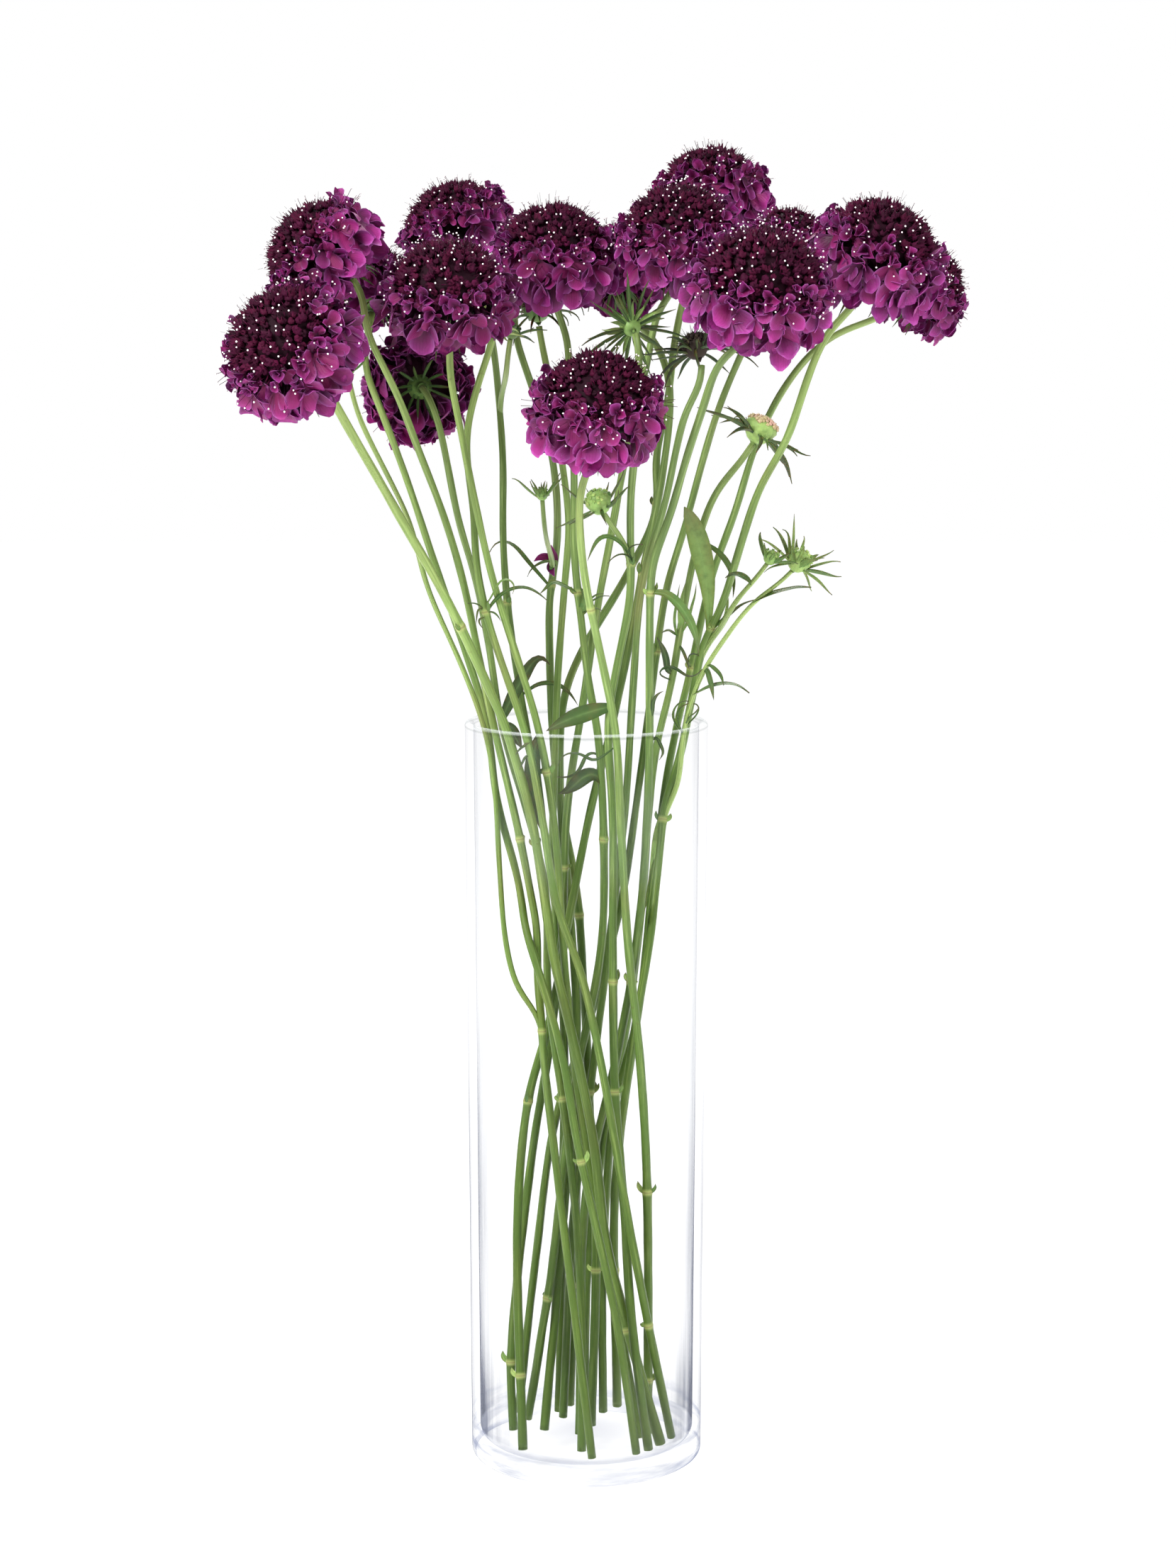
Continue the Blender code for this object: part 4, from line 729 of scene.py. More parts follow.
    # pins: pale round stigmas on thin styles
    count = int(136 * min(1.0, (R / 27.0) ** 1.2))
    th, ph = sphere_points(count, 3, 98, rng, 0.9)
    p, nn = on_core(th, ph, a, up, down)
    z = norm(nn + rng.normal(0, 0.14, (count, 3)))
    reach = R * rng.uniform(0.125, 0.200, count) * (1 + 0.9 * (th > 1.35))
    tip = world(p + z * reach[:, None])
    dome.add(*shift(rod(world(p), tip, 0.13, 0.10, 3), (0.9, 0.5, 0.5, 0.30)))
    r = rng.uniform(0.33, 0.42, count)
    dome.add(*stamp(BALL[0], BALL[1], tip, np.broadcast_to(np.eye(3), (count, 3, 3)), np.stack([r, r, r], axis=1), np.array([1.0, 1, 1, 1])), mat=1)

    # green calyx and its narrow bracts
    rows = [(0.24, -0.22), (0.20, -0.36), (0.12, -0.46), (0.08, -CALYX)]
    around = 12
    v = np.array([(q * R * math.cos(2 * math.pi * i / around), q * R * math.sin(2 * math.pi * i / around), z * R) for q, z in rows for i in range(around)] + [(0, 0, -0.2 * R), (0, 0, -CALYX * R)])
    k = len(rows) * around
    tris = np.array([((i + 1) % around, i, k) for i in range(around)] + [((len(rows) - 1) * around + i, (len(rows) - 1) * around + (i + 1) % around, k + 1) for i in range(around)])
    petals.add(world(v), [grid_faces(len(rows), around, wrap_v=True), tris[:, ::-1]], (0.5, 0.5, 0.5, 0.45), mat=1)
    count = 12
    f = 2 * np.pi * (np.arange(count) + rng.normal(0, 0.15, count)) / count
    t = np.stack([np.cos(f), np.sin(f), 0 * f], axis=1)
    o = t * 0.13 * R - Z * 0.42 * R
    h = norm(t - Z * rng.uniform(0.1, 0.9, (count, 1)) + 0.25 * fall)
    v, fc, fx = lobes(rng, o, h, np.broadcast_to(Z, h.shape), R * rng.uniform(0.40, 0.62, count), R * 0.068, rng.uniform(0.2, 1.0, count), 0.3, 0.02, 8, 3, 0.30, 0.20, shape="bract", fold=0.4)
    petals.add(world(v), fc, fx, mat=1)
    P = petals.build("florets_" + key, mats_petal)
    D = dome.build("dome_" + key, mats_dome)
    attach(P, "root")
    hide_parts("flower_%s_petals" % key)
    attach(D, "root")
    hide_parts("flower_%s_centre" % key)
    return P, D


def shift(shape, fx):
    """A (verts, faces) pair with one attribute value for all its points."""
    v, f = shape
    return v, f, np.broadcast_to(np.array(fx, float), (len(v), 4))


# ---- stems ----
NODES = {  # elevation heights of the joints on a stem, where it swells and pales
    "01": [350, 52], "02": [262, 181], "03": [125], "04": [260, 152], "05": [356, 54], "06": [290], "07": [360, 72],
    "08": [367, 230, 155, 78], "09": [152], "10": [364, 262, 66], "11": [357, 112, 30], "12": [250, 38], "13": [376, 202, 155], "14": [372, 151, 32],
    "15": [400], "16": [155, 125], "17": [364, 202], "18": [340, 152], "19": [384, 155, 20], "20": [333], "21": [350, 270, 78]}


def resample(path, step):
    run = np.concatenate([[0], np.cumsum(np.linalg.norm(np.diff(path, axis=0), axis=1))])
    n = max(3, int(run[-1] / step) + 1)
    s = np.linspace(0, run[-1], n)
    p = np.stack([np.interp(s, run, path[:, c]) for c in range(3)], axis=1)
    for _ in range(6):
        p[1:-1] = 0.25 * p[:-2] + 0.5 * p[1:-1] + 0.25 * p[2:]
    return p, s


def stem_tube(mesh, path, r_top, r_foot, rng, nodes=(), tone=0.5, cut=True, sides=10):
    p, s = resample(path, 3.0)
    el = np.array([to_elevation(q)[1] for q in p])
    if len(nodes):                      # closer rings where a joint swells
        order = np.argsort(el)
        at = [np.interp(z, el[order], s[order]) + d for z in nodes for d in (-2.2, -1.3, -0.6, 0.0, 0.6, 1.3, 2.2)]
        keep = np.array([min(abs(q - w) for w in at) > 0.45 for q in s])
        keep[[0, -1]] = True
        more = np.unique(np.round(np.concatenate([s[keep], [w for w in at if 1.0 < w < s[-1] - 1.0]]), 4))
        p = np.stack([np.interp(more, s, p[:, c]) for c in range(3)], axis=1)
        s = more
        el = np.array([to_elevation(q)[1] for q in p])
    n = len(p)
    tan = norm(np.gradient(p, s, axis=0))
    a = norm(np.cross(tan[0], (0.0, 1.0, 0.0)))
    r = r_top + (r_foot - r_top) * s / s[-1]
    r = r * (1 + 0.03 * np.sin(s * 0.11 + rng.uniform(0, 6)) + 0.02 * np.sin(s * 0.31 + rng.uniform(0, 6)))
    flag = np.zeros(n)
    for z in nodes:
        r = r * (1 + 0.08 * np.exp(-((el - z) / 3.2) ** 2) + 0.14 * np.exp(-((el - z) / 1.1) ** 2))
        flag = np.maximum(flag, np.exp(-((el - z) / 1.5) ** 2))
    k = np.arange(sides)
    t = 2 * np.pi * k / sides
    rib = 1 + 0.03 * np.cos(t * sides / 2) + 0.05 * np.cos(2 * t + rng.uniform(0, 6))
    v = np.zeros((n, sides, 3))
    for i in range(n):
        a = norm(a - tan[i] * (a @ tan[i]))
        b = np.cross(tan[i], a)
        v[i] = p[i] + (r[i] * rib)[:, None] * (np.cos(t)[:, None] * a + np.sin(t)[:, None] * b)
    fx = np.zeros((n, sides, 4))
    fx[..., 0] = flag[:, None]
    fx[..., 1] = np.abs(2.0 * k / sides - 1.0)[None]
    fx[..., 2] = tone
    fx[..., 3] = np.clip(s / 480.0, 0, 1)[:, None]
    centre = np.stack([p[0], p[-1]])
    cf = np.array([[0, 0, tone, 0], [2.0, 0, tone, 1]])
    top = n * sides
    last = (n - 1) * sides
    # the cut end is dished and pale
    lip = p[-1] + tan[-1] * 0.05
    inner = lip + 0.62 * (v[-1] - p[-1]) - tan[-1] * 0.5
    verts = np.concatenate([v.reshape(-1, 3), centre[:1], inner, (lip - tan[-1] * 0.6)[None]])
    fxs = np.concatenate([fx.reshape(-1, 4), cf[:1], np.broadcast_to(cf[1], (sides, 4)), cf[1:]])
    nxt = (k + 1) % sides
    q = [grid_faces(n, sides, wrap_v=True), np.stack([last + k, last + nxt, top + 1 + nxt, top + 1 + k], axis=1)]
    tri = np.concatenate([np.stack([nxt, k, np.full(sides, top)], axis=1), np.stack([top + 1 + k, top + 1 + nxt, np.full(sides, top + 1 + sides)], axis=1)])
    mesh.add(verts, q + [tri], fxs)
    # the stubs of two old leaves clasp each joint
    for z in nodes:
        i = int(np.argmin(np.abs(el - z)))
        if not 2 < i < n - 3:
            continue
        turn = rng.uniform(-1.3, 1.3)
        for side in (0.0, math.pi):
            if rng.uniform() < 0.25:
                continue
            d = norm(math.cos(turn + side) * np.array([1.0, 0, 0]) + math.sin(turn + side) * np.array([0, 1.0, 0]))
            d = norm(d - tan[i] * (d @ tan[i]))
            up, k1 = -tan[i], rng.uniform(0.25, 1.30)
            leaf(mesh, np.array([p[i] + 0.80 * r[i] * d - 0.4 * up, p[i] + 1.15 * r[i] * d + 0.6 * up, p[i] + (1.30 + 0.25 * k1) * r[i] * d + 2.0 * k1 * up, p[i] + (1.15 + 0.45 * k1) * r[i] * d + 3.6 * k1 * up]), rng.uniform(1.5, 2.4), 0.7, rng, tone=rng.uniform(0.35, 0.85))


def leaf(mesh, pts3, width, face, rng, tone=0.4, fold=0.25, mat=1, wave=0.03, broad=1.0):
    """A leaf along pts3: keeled, tapered at both ends, a little wavy."""
    run = np.concatenate([[0], np.cumsum(np.linalg.norm(np.diff(pts3, axis=0), axis=1))])
    nu, nv = 18, 5
    s = np.linspace(0, run[-1], nu)
    p = np.stack([np.interp(s, run, pts3[:, c]) for c in range(3)], axis=1)
    for _ in range(3):
        p[1:-1] = 0.25 * p[:-2] + 0.5 * p[1:-1] + 0.25 * p[2:]
    tan = norm(np.gradient(p, axis=0))
    nrm = norm(face * np.array([0.0, -1.0, 0.0]) + (1 - face) * np.array([0.0, 0, 1.0]))
    side = norm(np.cross(tan, nrm))
    nn = np.cross(side, tan)
    u = np.linspace(0, 1, nu)
    w = 0.5 * width * (0.22 + 0.78 * np.sin(np.pi * np.clip(u ** broad * (0.93 if broad < 1.2 else 0.76) + 0.08 * (broad < 1.2), 0, 1)) ** 0.9) * np.sqrt(np.maximum(0.002, 1 - u ** 5))
    v = np.linspace(-1, 1, nv)
    tw = rng.uniform(-0.3, 0.3) * u
    side, nn = side * np.cos(tw)[:, None] + nn * np.sin(tw)[:, None], nn * np.cos(tw)[:, None] - side * np.sin(tw)[:, None]
    lift = fold * np.abs(v)[None] * w[:, None] + wave * width * np.sin(9 * u[:, None] + rng.uniform(0, 6)) * v[None]
    q = p[:, None] + side[:, None] * (v[None] * w[:, None])[..., None] + nn[:, None] * lift[..., None]
    t = 0.22 * (1.4 - np.abs(v))[None, :, None] * nn[:, None]
    fx = np.zeros((2, nu, nv, 4))
    fx[..., 0], fx[..., 1], fx[..., 2], fx[..., 3] = u[None, :, None], (0.5 + 0.5 * v)[None, None], rng.uniform(), tone
    mesh.add(np.concatenate([(q + t).reshape(-1, 3), (q - t).reshape(-1, 3)]), [sheet_faces(nu, nv)], fx.reshape(-1, 4), mat)


def bare(mesh, key, rng, mats):
    """A bud or bare head: a textured core with long narrow bracts round it.
    mats gives the slots of green, cream and dark."""
    c, n, core, reach, count = tip_frame(key)
    look = BARE[key]
    green, cream, dark = mats
    core = core * look.get("fat", 1.0)
    core_mat, knob_mat = mats[look.get("core", 0)], mats[look.get("top", 0)]
    A = np.stack([*basis(n)], axis=1)
    world = lambda p: c + p @ A.T
    rows, around = 9, 14
    tall = core * look["tall"]
    th = np.linspace(0.15, math.pi - 0.25, rows)
    low = np.where(np.cos(th) < 0, 0.9, 1.0)
    v = [np.stack([core * g * np.sin(t) * np.cos(2 * np.pi * np.arange(around) / around), core * g * np.sin(t) * np.sin(2 * np.pi * np.arange(around) / around), np.full(around, (tall if math.cos(t) > 0 else core) * math.cos(t))], axis=1) for t, g in zip(th, low)]
    v = np.concatenate(v + [np.array([[0, 0, tall], [0, 0, -core * 1.25]])])
    k = rows * around
    tris = np.array([((i + 1) % around, i, k) for i in range(around)] + [((rows - 1) * around + i, (rows - 1) * around + (i + 1) % around, k + 1) for i in range(around)])
    mesh.add(world(v), [grid_faces(rows, around, wrap_v=True), tris[:, ::-1]], (0.3, 0.5, 0.5, look["tone"]), core_mat)
    cnt = look["knobs"]
    th, ph = sphere_points(cnt, 0, look.get("down", 75), rng)
    p = np.stack([core * np.sin(th) * np.cos(ph), core * np.sin(th) * np.sin(ph), tall * np.cos(th)], axis=1)
    z = norm(p)
    size = core * look.get("size", 0.17) * rng.uniform(0.8, 1.2, cnt)
    fx = np.stack([np.full(cnt, 0.3), rng.uniform(0, 1, cnt), rng.uniform(0, 1, cnt), np.clip(look["tone"] + rng.normal(0, 0.12, cnt), 0, 1)], axis=1)
    mesh.add(*stamp(BUD[0], BUD[1], world(p * 0.93), np.einsum("ij,njk->nik", A, frames(z, rng.uniform(0, 6, cnt))), np.stack([size, size, size * look["knob"]], axis=1), fx), mat=knob_mat)
    if "hairs" in look:
        cnt, ln = look["hairs"]
        th, ph = sphere_points(cnt, 0, 100, rng, 2.0)
        p = np.stack([core * np.sin(th) * np.cos(ph), core * np.sin(th) * np.sin(ph), tall * np.cos(th)], axis=1)
        z = norm(norm(p) + rng.normal(0, 0.25, p.shape))
        mesh.add(*shift(rod(world(p * 0.9), world(p + z * (ln * rng.uniform(0.5, 1.1, cnt))[:, None]), 0.16, 0.05, 3), (0.4, 0.5, 0.5, look["bract"])), mat=knob_mat)
    for ring, (cnt, ln, lift, curl, wide, *own) in enumerate(look["rings"]):
        f = 2 * np.pi * (np.arange(cnt) + 0.5 * ring + rng.normal(0, 0.16, cnt)) / cnt
        t = np.stack([np.cos(f), np.sin(f), 0 * f], axis=1)
        Z = np.array([0, 0, 1.0])
        o = t * core * 0.66 + Z * core * -0.5
        h = norm(t + Z * (lift + rng.normal(0, 0.20, cnt))[:, None])
        m = norm(Z - t * lift)
        L = ln * reach * rng.uniform(0.74, 1.14, cnt)
        tone = np.clip((own[0] if own else look["bract"] + 0.06 * ring) + rng.normal(0, 0.05, cnt), 0, 1)
        v, fc, fx = lobes(rng, o, h, m, L, wide * rng.uniform(0.8, 1.2, cnt), curl + rng.normal(0, 0.30, cnt), 0.5, 0.02, 11, 3, 0.34, tone, shape="bract", tipcurl=rng.normal(0, 0.5, cnt), fold=0.5, twist=rng.normal(0, 0.5, cnt))
        mesh.add(world(v), fc, fx, green)


# how each bud and bare head looks: rings are (bracts, length, lift, curl, width)
BARE = {
    "bracts_1": dict(tall=0.8, tone=0.75, knobs=16, knob=1.4, bract=0.80, rings=[(8, 1.1, 0.25, 0.6, 2.2), (6, 0.8, 0.9, -0.3, 1.8)]),
    "bracts_2": dict(tall=0.8, tone=0.20, knobs=12, knob=1.2, bract=0.16, rings=[(7, 1.3, 0.2, 0.5, 1.6), (5, 0.9, 0.7, -0.3, 1.4)]),
    "spent_head": dict(fat=0.85, tall=0.75, tone=0.30, knobs=60, knob=1.6, top=2, size=0.15, bract=0.20, hairs=(60, 3.0), rings=[(9, 1.3, -0.25, 0.7, 1.4), (6, 1.1, 0.2, 0.6, 1.2)]),
    "involucre": dict(fat=0.66, tall=0.6, tone=0.66, knobs=30, knob=0.9, bract=0.24, rings=[(12, 1.18, 0.10, 0.45, 2.1, 0.20), (9, 0.95, 0.45, 0.35, 1.7, 0.26), (13, 0.62, 0.20, 0.15, 2.6, 0.62)]),
    "seed_head": dict(fat=0.72, tall=0.7, tone=0.10, knobs=70, knob=1.7, core=2, top=2, size=0.15, down=95, bract=0.03, hairs=(150, 5.0), rings=[(12, 1.2, -0.05, 0.8, 2.0), (9, 1.0, 0.5, 0.6, 1.6)]),
    "bud_right": dict(tall=0.62, tone=0.78, knobs=46, knob=0.9, top=1, size=0.15, down=62, bract=0.20, rings=[(12, 1.25, 0.10, 0.55, 2.5), (8, 0.9, 0.55, 0.5, 2.0)]),
    "bud_hidden": dict(tall=0.9, tone=0.60, knobs=14, knob=0.9, bract=0.35, rings=[(8, 1.3, 0.6, -0.4, 1.4)]),
    "bud_left": dict(tall=1.2, tone=0.66, knobs=8, knob=1.0, bract=0.46, rings=[(7, 1.7, 0.8, -0.35, 1.6), (5, 1.3, 1.6, 0.1, 1.3)]),
    "bud_ball": dict(tall=0.95, tone=0.70, knobs=26, knob=0.8, bract=0.25, rings=[(9, 1.15, 0.1, -0.5, 2.0)]),
    "bud_long": dict(tall=0.9, tone=0.78, knobs=16, knob=1.0, size=0.2, bract=0.50, rings=[(6, 0.95, 0.7, -0.30, 3.4), (7, 1.2, 1.2, 0.15, 2.0), (5, 1.05, 0.1, 0.5, 1.9)]),
    "bud_small": dict(tall=0.9, tone=0.66, knobs=10, knob=0.9, size=0.22, bract=0.42, rings=[(8, 1.25, 0.7, -0.25, 2.0)]),
}

# small leaves and tendrils that only the visual model has: stem, elevation
# points, depth offset at the tip, width, face, tone
SMALL = [
    dict(on="08", pts=[(-14.5, 368), (-14.8, 373), (-13.9, 376.3), (-12.8, 376.5), (-15.1, 377.1), (-18.0, 376.5), (-20.9, 375.0), (-23.2, 373.0), (-24.1, 370.4)], dy=-8, w=1.6, face=0.5, tone=0.36),
    dict(on="08", pts=[(-14.5, 376), (-15.7, 378.0), (-18.5, 378.5), (-21.5, 376.8)], dy=-7, w=3.8, face=0.8, tone=0.55, mat=4),
    dict(on="08", pts=[(-14.2, 376), (-13.4, 378.5), (-13.9, 380.8), (-14.4, 383.6)], dy=-7, w=3.4, face=0.8, tone=0.6, mat=4),
    dict(on="08", pts=[(-14.6, 377), (-14.9, 375.3), (-14.2, 373.0), (-13.0, 370.6)], dy=-7, w=3.6, face=0.8, tone=0.5, mat=4),
    dict(on="05", pts=[(-41.5, 355.3), (-39.2, 359.1), (-36.3, 362.0), (-33.4, 364.3), (-28.7, 366.1), (-23.8, 366.1), (-19.4, 363.7), (-16.0, 360.8)], dy=-9, w=2.0, face=0.5, tone=0.26),
    dict(on="05", pts=[(-41.0, 358), (-37.5, 364.0), (-36.0, 367.6), (-33.3, 370.1), (-31.3, 369.2), (-29.6, 368.1), (-29.0, 365.5), (-30.2, 363.4)], dy=-11, w=1.4, face=0.4, tone=0.55),
    dict(on="05", pts=[(-41.5, 356.5), (-43.8, 357.6), (-44.7, 355.3), (-45.0, 351.2)], dy=-4, w=0.8, face=0.5, tone=0.25),
    dict(on="05", pts=[(-41.5, 356.5), (-43.8, 358.8), (-46.1, 359.7), (-48.5, 359.7)], dy=-4, w=0.8, face=0.5, tone=0.25),
    dict(on="05", pts=[(-40.9, 356.2), (-38.0, 355.9), (-36.0, 354.1), (-34.9, 352.1)], dy=-5, w=0.8, face=0.5, tone=0.25),
    dict(on="05", pts=[(-41.5, 354.1), (-43.9, 353.0), (-43.6, 350.9), (-42.4, 349.5)], dy=-4, w=0.8, face=0.5, tone=0.25),
    dict(on="10", pts=[(-0.5, 355.0), (-0.2, 360.0), (-0.5, 362.9), (-1.4, 365.8)], dy=-3, w=4.6, face=0.8, tone=0.36),
    dict(on="10", pts=[(-2.0, 358.0), (1.7, 361.4), (5.2, 363.7), (7.2, 363.4)], dy=-5, w=0.9, face=0.5, tone=0.2),
    dict(on="10", pts=[(-2.0, 357.0), (1.7, 360.0), (6.1, 362.6), (9.5, 362.6)], dy=-5, w=0.9, face=0.5, tone=0.2),
    dict(on="10", pts=[(-2.0, 355.5), (1.4, 357.0), (4.3, 357.6), (6.6, 356.5)], dy=-5, w=0.9, face=0.5, tone=0.2),
    dict(on="04", pts=[(-34.6, 311), (-32.6, 315.7), (-29.5, 322.7), (-26.1, 328.7), (-23.0, 334.0), (-19.9, 338.0), (-16.5, 337.5), (-14.9, 334.0)], dy=-9, w=5.4, face=0.88, tone=0.14),
    dict(on="04", pts=[(-34.4, 309.5), (-31.8, 308.5), (-29.1, 304.4), (-26.5, 299.8)], dy=-6, w=5.2, face=0.8, tone=0.12),
    dict(on="06", pts=[(-19.6, 305), (-21.5, 300), (-22.5, 292), (-21.5, 282), (-19.0, 271), (-16.0, 260)], dy=6, w=7.0, face=0.9, tone=0.16),
    dict(on="21", pts=[(29.5, 274), (27.6, 266), (27.9, 256), (26.7, 243.7), (23.0, 228.3)], dy=-4, w=2.6, face=0.8, tone=0.66),
    dict(on="13", pts=[(18, 374), (19.1, 376.8), (17.0, 381.4), (20.2, 383.7), (23.1, 383.7)], dy=-7, w=1.1, face=0.4, tone=0.10),
    dict(on="13", pts=[(18, 374), (18.8, 376.8), (16.5, 379.4), (13.6, 379.7), (10.7, 378.2), (8.7, 375.9)], dy=-9, w=1.1, face=0.4, tone=0.12),
    dict(on="19", pts=[(37.5, 345), (38.6, 350), (38.6, 357.6), (39.5, 363), (40.5, 368)], dy=-5, w=2.6, face=0.7, tone=0.60),
    dict(on="19", pts=[(37.6, 346), (41.5, 352), (43.0, 358), (44.5, 363.0), (45.0, 368)], dy=-8, w=1.3, face=0.6, tone=0.50),
    dict(on="19", pts=[(37.6, 344), (36.0, 352), (37.0, 360), (38.2, 367.5)], dy=-8, w=1.2, face=0.6, tone=0.45),
    dict(on="19", pts=[(37.0, 346), (33.7, 348.6), (32.4, 348.3), (30.8, 347.5)], dy=-6, w=1.5, face=0.5, tone=0.25),
    dict(on="19", pts=[(36.5, 331), (34.0, 331.5), (32.8, 336.7), (31.1, 341.9), (28.7, 346.0)], dy=-9, w=2.9, face=0.8, tone=0.10),
    dict(on="19", pts=[(36.5, 328), (33, 329), (29.4, 330.8), (32.3, 333.4), (35.7, 333.7), (38.7, 331.4), (42.2, 328.8), (45.7, 330.2), (47.7, 332.6)], dy=-14, w=1.6, face=0.4, tone=0.12),
    dict(on="19", pts=[(37.8, 343), (39.2, 341.0), (41.0, 336.7), (42.4, 332.0)], dy=-6, w=1.3, face=0.6, tone=0.14),
    dict(on="20", pts=[(44.0, 333), (42.1, 335.3), (42.1, 338.1), (44.2, 339.0), (46.2, 338.1)], dy=-12, w=1.5, face=0.5, tone=0.3),
    dict(on="21a", pts=[(47.0, 334), (49.1, 334.3), (52.6, 332.6), (55.3, 329.6), (56.4, 325.8)], dy=-5, w=2.0, face=0.4, tone=0.32),
    dict(on="21a", pts=[(46.0, 331), (48.3, 333.0), (50.6, 328.8), (51.8, 323.5), (52.4, 319.7)], dy=-6, w=2.3, face=0.6, tone=0.28),
    dict(on="21b", pts=[(67.0, 367.5), (66.3, 369.0), (63.1, 371.0), (59.9, 371.6), (56.8, 370.1)], dy=-5, w=3.2, face=0.5, tone=0.30),
    dict(on="21", pts=[(54.0, 349), (57.1, 353.6), (57.4, 357.0), (58.0, 360.5), (58.0, 363.4)], dy=-8, w=1.6, face=0.6, tone=0.62),
    dict(on="21", pts=[(53.0, 348), (56.6, 352.4), (60.3, 356.5), (64.7, 359.7), (70.4, 361.4)], dy=-14, w=2.0, face=0.5, tone=0.34),
    dict(on="21a", pts=[(40.0, 306), (36.5, 309.7), (35.5, 313.8), (37.3, 317.9), (40.2, 319.7), (43.1, 319.1)], dy=-4, w=1.1, face=0.3, tone=0.35),
    dict(on="21a", pts=[(40.0, 305), (38.2, 309.7), (37.3, 313.2), (38.7, 316.8), (42.2, 318.5)], dy=-7, w=1.3, face=0.3, tone=0.25),
    dict(on="21a", pts=[(40.0, 306), (42.2, 310.3), (44.6, 312.6), (46.3, 315.3), (46.0, 317.9), (44.0, 318.8), (42.8, 317.3)], dy=-5, w=1.0, face=0.3, tone=0.30),
    dict(on="21a", pts=[(40.5, 309), (42.8, 313.2), (44.6, 314.4), (46.3, 316.5)], dy=-6, w=1.1, face=0.3, tone=0.25),
    dict(on="17", pts=[(26, 312), (27.0, 314), (27.6, 319.6), (29.6, 322.5), (31.7, 323.5)], dy=-6, w=1.7, face=0.7, tone=0.10),
    dict(on="07", pts=[(-27.0, 321.5), (-24.2, 323.5), (-20.5, 326.2), (-17.2, 326.9), (-13.5, 326.8), (-10.3, 325.6), (-7.5, 323.6), (-5.2, 320.6), (-3.4, 317.5)], dy=-3, w=2.2, face=0.5, tone=0.20),
    dict(on="11", pts=[(11, 301), (7.5, 297.5), (2.3, 294.1), (-0.6, 296.8), (-4.4, 297.9), (-7.9, 297.9), (-10.5, 296.2), (-11.7, 292.6)], dy=5, w=1.4, face=0.4, tone=0.14),
    dict(on="10", pts=[(6, 286), (3.2, 289.1), (-0.6, 288.0), (-4.5, 284.8), (-8.5, 281.8), (-11.6, 280.9)], dy=-6, w=6.4, face=0.6, tone=0.12),
    dict(on="10", pts=[(5.5, 296.5), (3.0, 298.2), (0.0, 297.0), (-1.4, 293.5), (-3.6, 289.6), (-8.0, 287.6), (-12.2, 288.0)], dy=3, w=1.8, face=0.4, tone=0.20),
    dict(on="05", pts=[(-22.0, 300), (-22.5, 302.9), (-25.4, 300.9), (-27.8, 299.1), (-29.2, 296.8)], dy=-3, w=1.2, face=0.5, tone=0.12),
    dict(on="05", pts=[(-22.0, 297), (-24.9, 296.2), (-26.3, 293.8), (-27.5, 290.9)], dy=-3, w=1.1, face=0.5, tone=0.12),
    dict(on="17", pts=[(26, 302), (28.6, 304.4), (30.6, 300.9), (31.8, 297.9), (30.1, 295.0)], dy=3, w=1.6, face=0.5, tone=0.12),
]


# ---- materials ----
class Nodes:
    """A short way to write a Principled material with a node tree."""

    def __init__(self, name, rough=0.5, **fixed):
        self.mat = bpy.data.materials.new(name)
        self.mat.use_nodes = True
        self.nt = self.mat.node_tree
        self.b = self.nt.nodes["Principled BSDF"]
        self.b.inputs["Roughness"].default_value = rough
        for k, v in fixed.items():
            self.b.inputs[k.replace("_", " ")].default_value = v

    def new(self, kind, **props):
        n = self.nt.nodes.new(kind)
        for k, v in props.items():
            setattr(n, k, v)
        return n

    def put(self, a, b):
        self.nt.links.new(a, b)

    def value(self, socket, v):
        if isinstance(v, (int, float)):
            socket.default_value = v
        elif isinstance(v, tuple):
            socket.default_value = (*v, 1.0) if len(v) == 3 else v
        else:
            self.put(v, socket)

    def math(self, op, a, b=0.0, clamp=False):
        n = self.new("ShaderNodeMath", operation=op, use_clamp=clamp)
        self.value(n.inputs[0], a)
        self.value(n.inputs[1], b)
        return n.outputs[0]

    def mix(self, fac, a, b, blend="MIX"):
        n = self.new("ShaderNodeMix", data_type="RGBA", blend_type=blend)
        n.clamp_factor = True
        self.value(n.inputs["Factor"], fac)
        self.value(n.inputs[6], a)
        self.value(n.inputs[7], b)
        return n.outputs[2]

    def fx(self):
        a = self.new("ShaderNodeAttribute", attribute_name="fx")
        s = self.new("ShaderNodeSeparateColor")
        self.put(a.outputs["Color"], s.inputs[0])
        return s.outputs[0], s.outputs[1], s.outputs[2], a.outputs["Alpha"]

    def noise(self, scale, detail=3.0, rough=0.55, vec=None):
        n = self.new("ShaderNodeTexNoise")
        n.inputs["Scale"].default_value = scale
        n.inputs["Detail"].default_value = detail
        n.inputs["Roughness"].default_value = rough
        if vec is None:
            vec = self.new("ShaderNodeTexCoord").outputs["Object"]
        self.put(vec, n.inputs["Vector"])
        return n.outputs["Fac"]

    def ramp(self, fac, stops):
        n = self.new("ShaderNodeValToRGB")
        e = n.color_ramp.elements
        while len(e) < len(stops):
            e.new(0.5)
        for el, (p, c) in zip(e, stops):
            el.position, el.color = p, (*c, 1.0)
        self.put(fac, n.inputs[0])
        return n.outputs[0]

    def bump(self, height, strength, dist):
        n = self.new("ShaderNodeBump")
        n.inputs["Strength"].default_value = strength
        n.inputs["Distance"].default_value = dist
        self.put(height, n.inputs["Height"])
        self.put(n.outputs[0], self.b.inputs["Normal"])


